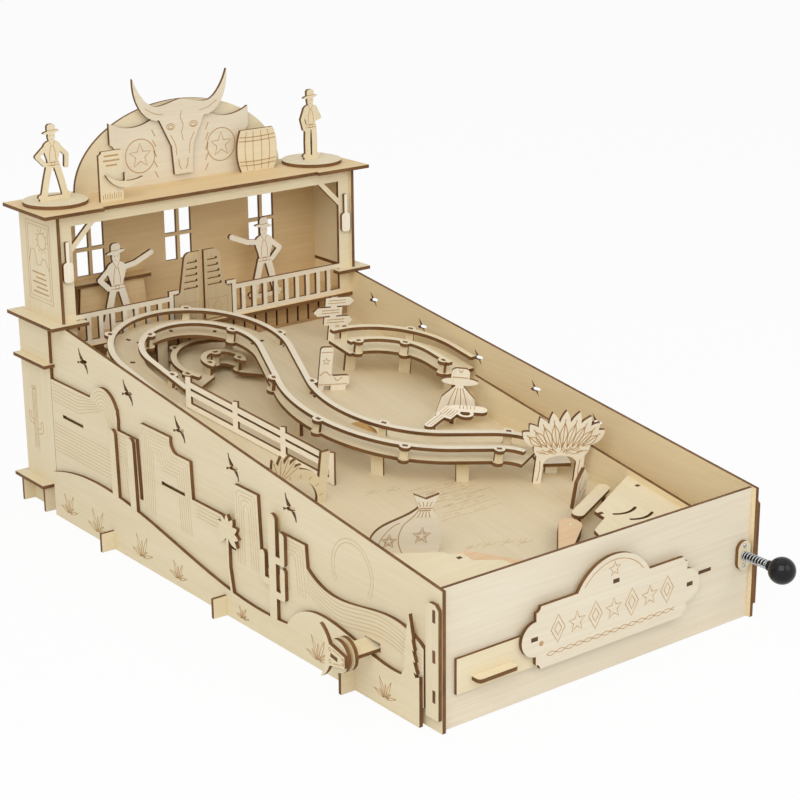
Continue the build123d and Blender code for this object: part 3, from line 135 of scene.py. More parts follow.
groupSockets = [("Light", "INPUT", "Color"), ("Dark", "INPUT", "Color"), ("Smooth", "INPUT", "Float"),
                ("Rough", "INPUT", "Float"), ("Colour", "OUTPUT", "Color"), ("Roughness", "OUTPUT", "Float"),
                ("Height", "OUTPUT", "Float")]


def startGroup(name, *extraInputs):
    group = bpy.data.node_groups.new(name, "ShaderNodeTree")
    for label, way, kind in groupSockets + [(extra, "INPUT", "Float") for extra in extraInputs]:
        group.interface.new_socket(name=label, in_out=way, socket_type="NodeSocket" + kind)
    return group, group.nodes.new("NodeGroupInput").outputs


def finishGroup(group, given, mask, height):
    out = group.nodes.new("NodeGroupOutput")
    mix = group.nodes.new("ShaderNodeMix")
    mix.data_type = "RGBA"
    for source, label in ((mask, "factor"), (given["Light"], "first"), (given["Dark"], "second")):
        wire(group, source, mix.inputs[mixSockets[label]])
    wire(group, mix.outputs[mixSockets["result"]], out.inputs["Colour"])
    wire(group, mapRange(group, mask, "To", (given["Smooth"], given["Rough"])), out.inputs["Roughness"])
    wire(group, height, out.inputs["Height"])
    return group


def sheetVector(group):
    sheet = group.nodes.new("ShaderNodeAttribute")
    sheet.attribute_name = "sheet"  # along the grain, across it, and up through the plies
    return sheet.outputs["Vector"]


def makeGrainGroup():
    group, given = startGroup("birchGrain")
    total, pores = noiseMask(group, sheetVector(group), grainLook["noises"])
    return finishGroup(group, given, mapRange(group, total, "From", grainLook["span"]), pores)


def makeEdgeGroup():
    group, given = startGroup("laserEdge")
    sheet = sheetVector(group)
    total, char = noiseMask(group, sheet, edgeLook["noises"])
    parts = group.nodes.new("ShaderNodeSeparateXYZ")
    wire(group, sheet, parts.inputs["Vector"])
    layer = mathNode(group, "FRACT", mathNode(group, "MULTIPLY", parts.outputs["Z"], edgeLook["plies"]))
    band = mathNode(group, "ABSOLUTE", mathNode(group, "SUBTRACT", layer, 0.5))
    glueLine = mathNode(group, "GREATER_THAN", band, edgeLook["glueFrom"])
    glue = mathNode(group, "MULTIPLY", glueLine, edgeLook["glueShare"])
    total = mathNode(group, "ADD", total, mathNode(group, "SUBTRACT", glue, edgeLook["glueLevel"]))
    return finishGroup(group, given, mapRange(group, total, "From", edgeLook["span"]), char)


def makeSpeckGroup():
    group, given = startGroup("speck", "Scale")
    coords = group.nodes.new("ShaderNodeTexCoord")
    noise = group.nodes.new("ShaderNodeTexNoise")
    setInputs(noise, {"Detail": speckLook["detail"]})
    wire(group, given["Scale"], noise.inputs["Scale"])
    wire(group, coords.outputs["Object"], noise.inputs["Vector"])
    return finishGroup(group, given, noise.outputs["Fac"], noise.outputs["Fac"])


grainGroup = makeGrainGroup()
edgeGroup = makeEdgeGroup()
speckGroup = makeSpeckGroup()


def startMaterial(name):
    material = bpy.data.materials.new(name)
    material.use_nodes = True
    return material, material.node_tree, material.node_tree.nodes["Principled BSDF"]


def makeFinish(name, group, look, light, dark):
    material, tree, shader = startMaterial(name)
    effect = tree.nodes.new("ShaderNodeGroup")
    effect.node_tree = group
    smoothest, roughest = look["roughness"]
    setInputs(effect, {"Light": srgb(*light), "Dark": srgb(*dark), "Smooth": smoothest, "Rough": roughest})
    if "scale" in look:
        setInputs(effect, {"Scale": look["scale"]})
    bump = tree.nodes.new("ShaderNodeBump")
    strength, distance = look["bump"]
    setInputs(bump, {"Strength": strength, "Distance": distance})
    wire(tree, effect.outputs["Height"], bump.inputs["Height"])
    wire(tree, bump.outputs["Normal"], shader.inputs["Normal"])
    wire(tree, effect.outputs["Colour"], shader.inputs["Base Color"])
    wire(tree, effect.outputs["Roughness"], shader.inputs["Roughness"])
    setInputs(shader, {"Specular IOR Level": look["specular"], "Metallic": look.get("metallic", 0.0)})
    return material


def speckled(name, light, dark, roughness, grainSize, **changes):
    look = dict(speckLook, roughness=roughness, scale=1 / grainSize, **changes)
    return makeFinish(name, speckGroup, look, light, dark)


faceColours = {
    "birch": ((238, 224, 191), (230, 214, 178)),
    "warm": ((236, 210, 163), (226, 197, 148)),
    "peach": ((236, 205, 166), (221, 186, 143)),
    "field": ((230, 214, 181), (221, 203, 167)),
    "yellow": ((243, 225, 186), (235, 214, 172)),
    "pale": ((237, 226, 203), (227, 214, 188)),
    # the next colour is paler than the ply: painted light on boards that the walls shade from the lamps
    "bright": ((253, 245, 226), (247, 236, 212)),
    "track": ((224, 208, 175), (214, 197, 162)),
    "tan": ((206, 184, 147), (192, 168, 130)),
    # the next colour is darker for the riser ribs' burnt edges and for painted shade under the deck and loop
    "scorchedAndShaded": ((178, 146, 104), (150, 118, 78)),
}
faces = {label: makeFinish(label + "Face", grainGroup, grainLook, *pair)
         for label, pair in faceColours.items()}
burntEdge = makeFinish("burntEdge", edgeGroup, edgeLook, (134, 96, 58), (66, 43, 25))
engraved = speckled("engravedBurn", (204, 168, 116), (180, 140, 90), (0.7, 0.85), 0.004)
faintEtch = speckled("faintEtch", (218, 197, 158), (203, 180, 139), (0.65, 0.8), 0.005)
burntTab = speckled("burntTab", (104, 70, 42), (68, 44, 26), (0.7, 0.88), 0.002)
brightSteel = speckled("brightSteel", (196, 198, 202), (168, 170, 175), (0.18, 0.32), 0.003, metallic=1.0)
blackGloss = speckled("blackGloss", (14, 14, 16), (22, 22, 24), (0.08, 0.16), 0.006, specular=0.28)
turnedBrass = speckled("turnedBrass", (196, 152, 82), (164, 122, 58), (0.22, 0.4), 0.004, metallic=1.0)
darkSteel = speckled("darkSteel", (74, 74, 78), (46, 46, 50), (0.3, 0.5), 0.003, metallic=1.0)
dowelWood = speckled("dowelWood", (208, 172, 122), (180, 140, 92), (0.5, 0.7), 0.002)
print("finishes made")

sheetLook = {"flatness": 0.9, "merge": 1e-5, "normalDigits": 1, "upright": 0.7, "shift": 9, "thinnest": 1e-6}
otherFinish = {"plunger_rod": darkSteel, "plunger_spring": brightSteel, "steel_ball": brightSteel,
               "plunger_knob": blackGloss, "bumper": turnedBrass, "hatch_pin": dowelWood}
roundNodes = ("plunger_knob", "plunger_rod", "steel_ball")
nodesByFace = {
    "warm": {"saloon_back_wall", "saloon_roof", "porch_deck", "bar_counter"},
    "yellow": {"right_side_wall", "lane_divider"},
    "peach": {"left_flipper", "right_flipper"},
    "pale": {"banner_board", "bull_skull", "loop_rails", "front_sign", "front_panel", "porch_railings"},
    # these boards take the paler colour above, painted light where the walls shade them
    "bright": {"ramp_fence", "field_boards", "lane_boards", "porch_figures"},
    "track": {"loop_floor", "entry_ramp", "spiral_track"},
    "tan": {"left_batwing_door", "right_batwing_door"},
    # the porch riser's darker colour is partly its burnt rib edges and partly painted shade
    "scorchedAndShaded": {"porch_riser"},
    "field": {"playfield"},
}


def faceFor(name):
    for face, members in nodesByFace.items():
        if name in members:
            return faces[face]
    return faces["birch"]


def solidsOf(mesh):
    found = {}
    keys = []
    for vertex in mesh.vertices:
        key = tuple(round(c / sheetLook["merge"]) for c in vertex.co)
        keys.append(found.setdefault(key, len(found)))
    parent = list(range(len(found)))

    def root(i):
        while parent[i] != i:
            parent[i] = parent[parent[i]]
            i = parent[i]
        return i

    for polygon in mesh.polygons:
        first = root(keys[polygon.vertices[0]])
        for v in polygon.vertices[1:]:
            parent[root(keys[v])] = first
    groups = {}
    for polygon in mesh.polygons:
        groups.setdefault(root(keys[polygon.vertices[0]]), []).append(polygon)
    return list(groups.values())


def sheetAxis(polygons):
    areas = {}
    for polygon in polygons:
        n = polygon.normal
        n = n if max(n, key=abs) > 0 else -n
        key = tuple(round(c, sheetLook["normalDigits"]) for c in n)
        total, direction = areas.get(key, (0.0, Vector()))
        areas[key] = (total + polygon.area, direction + n * polygon.area)
    return max(areas.values(), key=lambda entry: entry[0])[1].normalized()


def reachAlong(points, direction):
    reaches = [p.dot(direction) for p in points]
    return min(reaches), max(reaches) - min(reaches)


def dressSheets(name, obj, face):
    mesh = obj.data
    mesh.materials.clear()
    mesh.materials.append(face)
    mesh.materials.append(burntEdge)
    sheet = mesh.attributes.new("sheet", "FLOAT_VECTOR", "POINT")
    values = [0.0] * (3 * len(mesh.vertices))
    draw = random.Random(name)
    for polygons in solidsOf(mesh):
        axis = sheetAxis(polygons)
        members = sorted({v for polygon in polygons for v in polygon.vertices})
        points = [mesh.vertices[v].co for v in members]
        helper = Vector((0, 1, 0)) if abs(axis.y) < sheetLook["upright"] else Vector((1, 0, 0))
        along = (helper - axis * helper.dot(axis)).normalized()
        across = axis.cross(along)
        if reachAlong(points, across)[1] > reachAlong(points, along)[1]:
            along, across = across, along  # the grain follows a sheet's longer side
        low, thick = reachAlong(points, axis)
        thick = max(thick, sheetLook["thinnest"])
        shiftA = draw.uniform(0, sheetLook["shift"])
        shiftB = draw.uniform(0, sheetLook["shift"])
        for v, p in zip(members, points):
            values[3 * v] = p.dot(along) + shiftA
            values[3 * v + 1] = p.dot(across) + shiftB
            values[3 * v + 2] = (p.dot(axis) - low) / thick
        for polygon in polygons:
            flat = abs(polygon.normal.dot(axis)) > sheetLook["flatness"]
            polygon.material_index = 0 if flat else 1
    sheet.data.foreach_set("vector", values)


def smoothShade(mesh):
    for polygon in mesh.polygons:
        polygon.use_smooth = True


for nodeName, node in nodes.items():
    if nodeName in otherFinish:
        node.data.materials.clear()
        node.data.materials.append(otherFinish[nodeName])
    else:
        dressSheets(nodeName, node, faceFor(nodeName))
    if nodeName in roundNodes:
        smoothShade(node.data)
print("sheets dressed")

# etched lines are thin closed ribbons, half sunk in the face that they are drawn on; sizes are in mm
etchLook = {"lift": 0.06, "sink": 0.06, "steps": 8, "ringStep": 9, "ringLeast": 6}
layout = {"fieldSlope": math.radians(9.37), "fieldFront": 43.4, "halfPly": 1.5, "apronTop": 23.0,
          "wall": 150, "landscape": 153, "skirt": 156}


def turned(degrees):
    return math.cos(math.radians(degrees)), math.sin(math.radians(degrees))


def sideSpot(side, reach):
    return lambda y, z, h: place(side * (reach + h), y, z)


def frontSpot(y):
    return lambda x, z, h: place(x, y - h, z)


def slopedSpot(slope, front, lift):
    c, s = math.cos(slope), math.sin(slope)
    return lambda x, v, h: place(x, v * c - (lift + h) * s, front + v * s + (lift + h) * c)


def fieldSpot(lift):
    return slopedSpot(layout["fieldSlope"], layout["fieldFront"], lift)


def upField(y):
    return y / math.cos(layout["fieldSlope"])


def standingSpot(x, y, turn):
    field, v, half = fieldSpot(0.0), upField(y), layout["halfPly"]
    c, s = turned(turn)
    return lambda a, b, h: field(x + a * c + (half + h) * s, v + a * s - (half + h) * c, b)


def lyingSpot(x, y, turn, lift):
    field, v = fieldSpot(lift), upField(y)
    c, s = turned(turn)
    return lambda a, b, h: field(x + a * c - b * s, v + a * s + b * c, h)


def startEtching():
    return {"points": [], "faces": []}


def strip(work, spot, line, width, closed=False):
    count, first = len(line), len(work["points"])
    lift, sink = etchLook["lift"], etchLook["sink"]
    for i, (a, b) in enumerate(line):
        before = line[i - 1] if closed or i else line[i]
        after = line[(i + 1) % count] if closed or i < count - 1 else line[i]
        da, db = after[0] - before[0], after[1] - before[1]
        size = math.hypot(da, db) or 1.0
        na, nb = -db / size * width / 2, da / size * width / 2
        for side, h in ((1, lift), (-1, lift), (-1, -sink), (1, -sink)):
            work["points"].append(spot(a + side * na, b + side * nb, h))
    for i in range(count if closed else count - 1):
        here, there = first + 4 * i, first + 4 * ((i + 1) % count)
        for k in range(4):
            work["faces"].append((here + k, here + (k + 1) % 4, there + (k + 1) % 4, there + k))
    if not closed:
        last = first + 4 * (count - 1)
        work["faces"].append((first + 3, first + 2, first + 1, first))
        work["faces"].append((last, last + 1, last + 2, last + 3))


def patch(work, spot, outline):
    count, first = len(outline), len(work["points"])
    for h in (etchLook["lift"], -etchLook["sink"]):
        work["points"] += [spot(a, b, h) for a, b in outline]
    work["faces"].append(tuple(range(first, first + count)))
    work["faces"].append(tuple(range(first + 2 * count - 1, first + count - 1, -1)))
    for i in range(count):
        j = (i + 1) % count
        work["faces"].append((first + j, first + i, first + count + i, first + count + j))


def finishPiece(name, work, material, body="cabinet"):
    mesh = bpy.data.meshes.new(name)
    mesh.from_pydata(work["points"], [], work["faces"])
    shell = bmesh.new()
    shell.from_mesh(mesh)
    bmesh.ops.recalc_face_normals(shell, faces=shell.faces[:])
    shell.to_mesh(mesh)
    shell.free()
    mesh.materials.append(material)
    piece = bpy.data.objects.new(name, mesh)
    scene.collection.objects.link(piece)
    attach(piece, body)
    return piece


def smooth(points):
    line, steps = [], etchLook["steps"]
    for i in range(len(points) - 1):
        corners = [points[max(min(i + k, len(points) - 1), 0)] for k in (-1, 0, 1, 2)]
        for k in range(steps):
            t = k / steps
            line.append(tuple(0.5 * (2 * b + (c - a) * t + (2 * a - 5 * b + 4 * c - d) * t * t
                                     + (3 * b - a - 3 * c + d) * t ** 3) for a, b, c, d in zip(*corners)))
    return line + [points[-1]]


def ring(a, b, radius, start=0.0, sweep=360.0, squeeze=1.0):
    steps = max(int(abs(sweep) / etchLook["ringStep"]), etchLook["ringLeast"])
    count = steps if abs(sweep) >= 360 else steps + 1
    turns = [math.radians(start + sweep * k / steps) for k in range(count)]
    return [(a + radius * math.cos(t), b + radius * squeeze * math.sin(t)) for t in turns]


def oblong(left, right, low, high):
    return [(left, low), (right, low), (right, high), (left, high)]


def block(a, b, halfWide, halfHigh):
    return oblong(a - halfWide, a + halfWide, b - halfHigh, b + halfHigh)


def spoke(a, b, turn, reaches, wide=1.0, high=1.0):
    c, s = turned(turn)
    return [(a + reach * wide * c, b + reach * high * s) for reach in reaches]


def star(a, b, radius, tips=5, inner=0.42):
    line = []
    for k in range(2 * tips):
        line += spoke(a, b, 90 + 180 * k / tips, (radius * inner if k % 2 else radius,))
    return line


def diamond(a, b, wide, high):
    return [(a - wide, b), (a, b - high), (a + wide, b), (a, b + high)]


def drawLines(work, spot, look, wide, way=1):
    # what is drawn stands with its share of the line width; way -1 mirrors it, and a half is drawn both ways
    for kind in ("lines", "curves", "loops"):
        for share, drawn in look.get(kind, {}).items():
            for points in drawn:
                line = [(way * a, b) for a, b in points]
                strip(work, spot, smooth(line) if kind == "curves" else line, wide * share, kind == "loops")
    for share, a, b, radius in look.get("stars", ()):
        strip(work, spot, star(way * a, b, radius), wide * share, True)
    for share, a, b, radius, squeeze in look.get("rings", ()):
        strip(work, spot, ring(way * a, b, radius, squeeze=squeeze), wide * share, True)
    if "half" in look:
        for side in (-1, 1):
            drawLines(work, spot, look["half"], wide, side)


# a contour's points have their place, then the way that each moves per mm of inset
hills = {
    "offsets": (3, 6, 9, 12), "wideOffsets": (3, 6, 9, 12, 15, 18), "blockOffsets": range(21, 48, 3),
    "width": 0.6, "base": 47.0, "mound": ((18, 57.5), (60, 67), (114, 60), (149, 71.5)),
    "near": ((150, 182, 88), (209, 239, 108)), "batter": 3, "corner": 2.5,
    "foot": ((251, 78, 0, -1), (292, 78, 0, -1)),
    "farButte": ((297, 47, 1, 0), (300, 108, 1, -1), (322, 108, 1, -1), (328, 120, 1, -1),
                 (371, 120, -1, -1), (371, 47, -1, 0)),
    "slotGap": (75.5, 82.5), "slotFrom": 12,
    "block": ((376, 47, 1, 0), (379, 104, 1, -1), (513, 104, 0, -1)),
    "backNear": ((376, 47, 1, 0), (379, 104, 1, -1), (408, 104, 0, -1)),
    "backFar": ((470, 120, 0, -1), (513, 121, 0, -1)), "knoll": (429, 112, 22), "knollArc": (196, -172),
    "sun": (98, 84), "sunRings": (21, 24), "sunArc": (-90, 359), "sunLow": 70,
}


def inset(points, offset):
    return [(y + offset * dy, z + offset * dz) for y, z, dy, dz in points]


def nearButte(low, high, top):
    base, corner = hills["base"], hills["corner"]
    return ((low - hills["batter"], base, 1, 0), (low, top - corner, 1, -1), (low + corner, top, 1, -1),
            (high - corner, top, -1, -1), (high, top - corner, -1, -1), (high, base, -1, 0))


def farButteLines(offset):
    line = inset(hills["farButte"], offset)
    if offset < hills["slotFrom"]:
        return [line]
    (a, low), (b, high) = line[:2]
    ends = [(a + (b - a) * (z - low) / (high - low), z) for z in hills["slotGap"]]
    return [[line[0], ends[0]], [ends[1]] + line[1:]]  # leaves the layer's slot open


def etchHills(side, label):
    work, wide = startEtching(), hills["width"]
    land, wall = sideSpot(side, layout["landscape"]), sideSpot(side, layout["wall"])
    for offset in hills["wideOffsets"]:
        strip(work, land, [(y, z - offset) for y, z in smooth(hills["mound"])], wide)
    for offset in hills["offsets"]:
        for butte in hills["near"]:
            strip(work, land, inset(nearButte(*butte), offset), wide)
        strip(work, land, inset(hills["foot"], offset), wide)
    for offset in hills["blockOffsets"]:
        strip(work, land, inset(hills["block"], offset), wide)
    for offset in hills["wideOffsets"]:
        for line in farButteLines(offset):
            strip(work, land, line, wide)
        y, z, radius = hills["knoll"]
        knoll = ring(y, z, radius - offset, *hills["knollArc"])
        strip(work, land, inset(hills["backNear"], offset) + knoll + inset(hills["backFar"], offset), wide)
    for radius in hills["sunRings"]:
        sun = ring(*hills["sun"], radius, *hills["sunArc"])
        strip(work, wall, [(y, z) for y, z in sun if z > hills["sunLow"]], wide)
    finishPiece(label + "_hill_etching", work, faintEtch)


# scorched wing and tail tips that lengthen the walls' bird cut-outs without covering them
birds = {
    "stations": (170.0, 243.0, 316.0, 392.0, 462.0), "front": 103.0, "slope": 7.6, "drop": 17.0,
    "wing": ((2.6, 1.3), (5.2, 7.2), (6.4, 10.6), (7.4, 9.9), (6.6, 5.6), (4.9, 1.1)),
    "farWing": ((-2.4, -1.3), (-4.6, -0.9), (-6.2, -4.2), (-6.8, -8.0), (-5.8, -8.8), (-4.5, -5.8)),
    "tail": ((6.2, -1.9), (9.4, -3.6), (9.9, -1.4), (6.4, -0.9)),
}


def scorchBirds(side, label):
    work, wall = startEtching(), sideSpot(side, layout["wall"])
    for station in birds["stations"]:
        level = birds["front"] + station * math.tan(math.radians(birds["slope"])) - birds["drop"]
        for shape in ("wing", "farWing", "tail"):
            patch(work, wall, [(station + a, level + b) for a, b in birds[shape]])
    finishPiece(label + "_bird_scorch", work, burntTab)


# each plant has its station, its foot's height and its own height
agaves = {
    "plants": ((490, 8, 22), (442, 6, 26), (372, 7, 24), (318, 6, 20), (228, 4, 13), (132, 6, 23),
               (54, 7, 19)),
    "strokes": 7, "spread": 72.0, "width": 0.6, "base": 2.4, "baseRise": 0.3, "shortShare": 0.62,
    "droop": 0.3, "heights": (0.88, 1.0), "bulges": (-0.07, 0.07), "seed": 11,
}


def etchAgaves(side, label):
    work, skirt = startEtching(), sideSpot(side, layout["skirt"])
    draw, base = random.Random(agaves["seed"]), agaves["base"]
    for station, foot, height in agaves["plants"]:
        for k in range(agaves["strokes"]):
            c, s = turned(agaves["spread"] * (2 * k / (agaves["strokes"] - 1) - 1))
            tall = height * (agaves["shortShare"] if k % 2 else 1.0) * (1 - agaves["droop"] * abs(s))
            tall *= draw.uniform(*agaves["heights"])
            tip = (station + tall * s, foot + tall * c)
            root = (station + base * s, foot + abs(c) * base * agaves["baseRise"])
            for bulge in agaves["bulges"]:
                belly = (station + tall * (0.5 * s + bulge * c), foot + tall * (0.5 * c - bulge * s))
                strip(work, skirt, smooth((root, belly, tip)), agaves["width"])
    finishPiece(label + "_agave_etching", work, engraved)


poster = {
    "frame": (507, 547, 185, 252), "inset": 3.0, "width": 0.7, "horizon": 0.42,
    "ridge": ((3, 0), (9, 9), (14, 9), (18, 3), (24, 3), (27, 15), (33, 15), (37, 4)),
    "sun": (14, 15, 7.0), "rays": 12, "rayReach": (8.5, 10.5),
    "bars": 5, "barWidth": 1.3, "barStart": 7, "barPitch": 4.2, "barInset": 7, "barShort": 6,
}


def etchPoster(side, label):
    work, tower = startEtching(), sideSpot(side, layout["wall"])
    near, far, low, high = poster["frame"]
    margin, wide = poster["inset"], poster["width"]
    strip(work, tower, oblong(near, far, low, high), wide, True)
    strip(work, tower, oblong(near + margin, far - margin, low + margin, high - margin), wide, True)
    horizon = low + (high - low) * poster["horizon"]
    strip(work, tower, [(near + a, horizon + b) for a, b in poster["ridge"]], wide)
    right, down, radius = poster["sun"]
    y, z = near + right, high - down
    strip(work, tower, ring(y, z, radius), wide, True)
    for k in range(poster["rays"]):
        strip(work, tower, spoke(y, z, 360 * k / poster["rays"], poster["rayReach"]), wide)
    for k in range(poster["bars"]):
        level = low + poster["barStart"] + poster["barPitch"] * k
        start = near + poster["barInset"] + k
        end = far - poster["barInset"] - (k % 2) * poster["barShort"]
        strip(work, tower, [(start, level), (end, level)], poster["barWidth"])
    finishPiece(label + "_poster_etching", work, engraved)


# each arm has its side, its root's height, its reach and its rise; the points of its edges have a share
# of the reach, mm beside that, a share of the rise and mm above that
cactus = {
    "y": 546.0, "foot": 50.0, "height": 54.0, "half": 3.2, "width": 0.6, "ribs": (-1.1, 1.1),
    "ribWidth": 0.48, "ribEnds": (2, 3), "arms": ((-1, 15.0, 9.0, 11.0), (1, 22.0, 8.0, 10.0)),
    "armEdges": (((0, 0, 0, 0), (0.7, 0, 0, 1), (1, 0, 0.4, 0), (1, 0, 1, 0)),
                 ((0, 0, 0, 4), (1, -4, 0, 5), (1, -3.4, 1, 0), (1, 0, 1, 0))),
    "flowers": ((-2.0, 56.0), (2.2, 55.5)), "flowerRadius": 1.4,
}


def etchCactus(side, label):
    work, post = startEtching(), sideSpot(side, layout["landscape"])
    middle, foot, half = cactus["y"], cactus["foot"], cactus["half"]
    top, wide = foot + cactus["height"], cactus["width"]
    trunk = [(middle - half, foot)] + ring(middle, top - half, half, 180, -180) + [(middle + half, foot)]
    strip(work, post, trunk, wide)
    below, above = cactus["ribEnds"]
    for rib in cactus["ribs"]:
        strip(work, post, [(middle + rib, foot + below), (middle + rib, top - above)], cactus["ribWidth"])
    for way, level, reach, rise in cactus["arms"]:
        for edge in cactus["armEdges"]:
            points = [(middle + way * (half + reach * a + beside), foot + level + rise * b + above)
                      for a, beside, b, above in edge]
            strip(work, post, smooth(points), wide)
    for a, b in cactus["flowers"]:
        strip(work, post, ring(middle + a, foot + b, cactus["flowerRadius"]), wide, True)
    finishPiece(label + "_cactus_etching", work, engraved)


bull = {
    "reach": 186.0, "y": 71.4, "z": 40.5, "width": 0.6, "lines": {1.0: (((-3.0, -11.0), (3.0, -11.0)),)},
    "half": {"rings": ((1.0, 4.4, 4.6, 1.3, 1.0), (1.0, 2.0, -9.4, 0.8, 1.0)),
             "curves": {1.0: (((5.2, 1.5), (3.9, -4.0), (3.4, -7.5)),)}},
}


def etchBull(side, label):
    work, flat = startEtching(), sideSpot(side, bull["reach"])

    def spot(a, b, h):
        return flat(bull["y"] + b, bull["z"] - a, h)  # the head lies on its side

    drawLines(work, spot, bull, bull["width"])
    finishPiece(label + "_button_etching", work, engraved, label + "_button")


for side, label in ((-1, "left"), (1, "right")):
    for etch in (etchHills, scorchBirds, etchAgaves, etchPoster, etchCactus, etchBull):
        etch(side, label)
print("side walls etched")

signMarks = {
    "face": -2.3, "panelFace": 3.7, "line": 0.8, "middle": 2.7, "row": 49.0, "pitch": 17.5, "marks": 7,
    "diamond": (6.4, 10.5), "diamondShares": (1.0, 0.5), "starRadius": 8.0, "topStar": (79.0, 5.6),
    "waveSpan": (-60.0, 65.4), "waveStep": 1.5, "waveLevel": 32.0, "waveHeight": 1.4, "waveTurn": 0.55,
    "waveShare": 0.7, "bow": (50.4, 35.5, 38, 104), "bowShare": 0.8,
    "tabs": ((-71.3, 46.7), (78.2, 46.9), (4.4, 69.5)), "tab": (3.0, 1.6),
    "panelTab": (99.8, 49.2, 6.5, 1.4),
}


def etchSign():
    work, sign, look = startEtching(), frontSpot(signMarks["face"]), signMarks
    wide, middle, row = look["line"], look["middle"], look["row"]
    halfWide, halfHigh = look["diamond"]
    for k in range(look["marks"]):
        a = middle + look["pitch"] * (k - (look["marks"] - 1) / 2)
        if k % 2:
            strip(work, sign, star(a, row, look["starRadius"]), wide, True)
            continue
        for share in look["diamondShares"]:
            strip(work, sign, diamond(a, row, halfWide * share, halfHigh * share), wide, True)
    left, right = look["waveSpan"]
    count = int((right - left) / look["waveStep"])
    for phase in (0.0, math.pi):
        rises = [look["waveHeight"] * math.sin(k * look["waveTurn"] + phase) for k in range(count)]
        wave = [(left + k * look["waveStep"], look["waveLevel"] + rise) for k, rise in enumerate(rises)]
        strip(work, sign, wave, wide * look["waveShare"])
    strip(work, sign, ring(middle, *look["bow"]), wide * look["bowShare"])
    strip(work, sign, star(middle, *look["topStar"]), wide, True)
    finishPiece("sign_etching", work, engraved)


def markSignTabs():
    work, sign, panel = startEtching(), frontSpot(signMarks["face"]), frontSpot(signMarks["panelFace"])
    for a, b in signMarks["tabs"]:
        patch(work, sign, block(a, b, *signMarks["tab"]))
    patch(work, panel, block(*signMarks["panelTab"]))
    finishPiece("sign_tab_ends", work, burntTab)


# the ends of a banner's slat have x, z and their steps from slat to slat
roofLine = 0.9
banner = {
    "front": 541, "slats": 5,
    "slatEnds": (((24, 270, 0.4, 9), (27, 276, 0.4, 9)), ((59, 268, 0.8, 3), (66, 268, -0.8, 3))),
    "half": {"stars": ((1.0, 41.0, 291.0, 11.0),), "rings": ((1.0, 41.0, 291.0, 14.5, 1.0),)},
}
skull = {
    "front": 538, "lines": {0.8: (((0, 326), (-1.6, 320), (1.2, 314), (-0.8, 307), (0.6, 300)),)},
    "half": {"rings": ((0.8, 11.5, 313, 3.9, 0.66), (0.7, 11.5, 312.6, 2.2, 0.66)),
             "curves": {1.0: (((2.2, 275), (4.2, 279), (4.6, 284)),),
                        0.8: (((6.5, 288), (7.4, 297), (12, 306)),),
                        0.7: (((18, 324), (27, 326), (36, 331)),)}},
}
barrel = {
    "front": 532, "x": 73.0, "middle": 283.5, "halfHeight": 18.5, "belly": 4,
    "staves": (-0.62, -0.22, 0.22, 0.62), "staveReach": 17, "staveShare": 0.8,
    "staveLevels": (266, 270, 275, 280, 285, 290, 295, 300.5),
    "hoops": (271.0, 274.5, 292.5, 296.0), "hoopReach": 16.2, "hoopSag": 0.9, "hoopSteps": 6,
}
plank = {
    "front": 506, "x": -90.0, "bars": ((303, 7.5), (299, 8.5), (295, 6.0)), "barShort": 1.5,
    "barWidth": 1.4, "fringe": 4, "fringePitch": 2.1, "fringeLevels": (267, 271), "fringeShare": 0.7,
}


def etchBanner(work):
    spot = frontSpot(banner["front"])
    drawLines(work, spot, banner, roofLine)
    for k in range(banner["slats"]):
        for ends in banner["slatEnds"]:
            slat = [(x + k * dx, z + k * dz) for x, z, dx, dz in ends]
            drawLines(work, spot, {"half": {"lines": {1.0: (slat,)}}}, roofLine)


def etchBarrel(work):
    spot, x = frontSpot(barrel["front"]), barrel["x"]

    def belly(z):
        return barrel["belly"] * (1 - ((z - barrel["middle"]) / barrel["halfHeight"]) ** 2)

    for share in barrel["staves"]:
        stave = [(x + share * (barrel["staveReach"] + belly(z)), z) for z in barrel["staveLevels"]]
        strip(work, spot, stave, roofLine * barrel["staveShare"])
    steps = barrel["hoopSteps"]
    for level in barrel["hoops"]:
        reach = barrel["hoopReach"] + belly(level)
        bow = [(x + reach * k / steps, level - barrel["hoopSag"] * (1 - (k / steps) ** 2))
               for k in range(-steps, steps + 1)]
        strip(work, spot, bow, roofLine)


def etchPlank(work):
    spot, x = frontSpot(plank["front"]), plank["x"]
    for level, reach in plank["bars"]:
        bar = [(x - reach + plank["barShort"], level), (x + reach, level)]
        strip(work, spot, bar, plank["barWidth"])
    low, high = plank["fringeLevels"]
    for k in range(-plank["fringe"], plank["fringe"] + 1):
        a = x + plank["fringePitch"] * k
        strip(work, spot, [(a, low), (a, high + k % 2)], roofLine * plank["fringeShare"])


def etchRoofBoards():
    work = startEtching()
    etchBanner(work)
    drawLines(work, frontSpot(skull["front"]), skull, roofLine)
    etchBarrel(work)
    etchPlank(work)
    finishPiece("roof_board_etching", work, engraved)


# figures are drawn 20 units high; each person has x, the foot's height and the height in mm
figures = {
    "people": ((-76.0, 149.0, 77.0), (76.0, 149.0, 77.0), (-130.0, 268.0, 66.0), (130.0, 268.0, 66.0)),
    "front": 530.0, "width": 0.55, "units": 20, "eye": (0.38, 16.1, 0.13),
    "lines": {1.0: (((-1.7, 8.7), (1.7, 8.7)), ((-1.65, 9.4), (1.65, 9.4)), ((0, 8.2), (0, 7.2)),
                    ((-1.1, 17.45), (0, 17.35), (1.1, 17.55)), ((-0.75, 14.7), (0, 13.3), (0.75, 14.7))),
              0.6: (((-0.28, 15.2), (0, 15.15), (0.28, 15.2)),)},
    "loops": {1.0: (oblong(-0.45, 0.45, 8.6, 9.5),)},
    "half": {"lines": {1.0: (((0.35, 13.6), (0.8, 11.6), (0.9, 9.7)),)}},
}


def personSpot(x, foot, unit):
    front = frontSpot(figures["front"])
    return lambda a, b, h: front(x + a * unit, foot + b * unit, h)


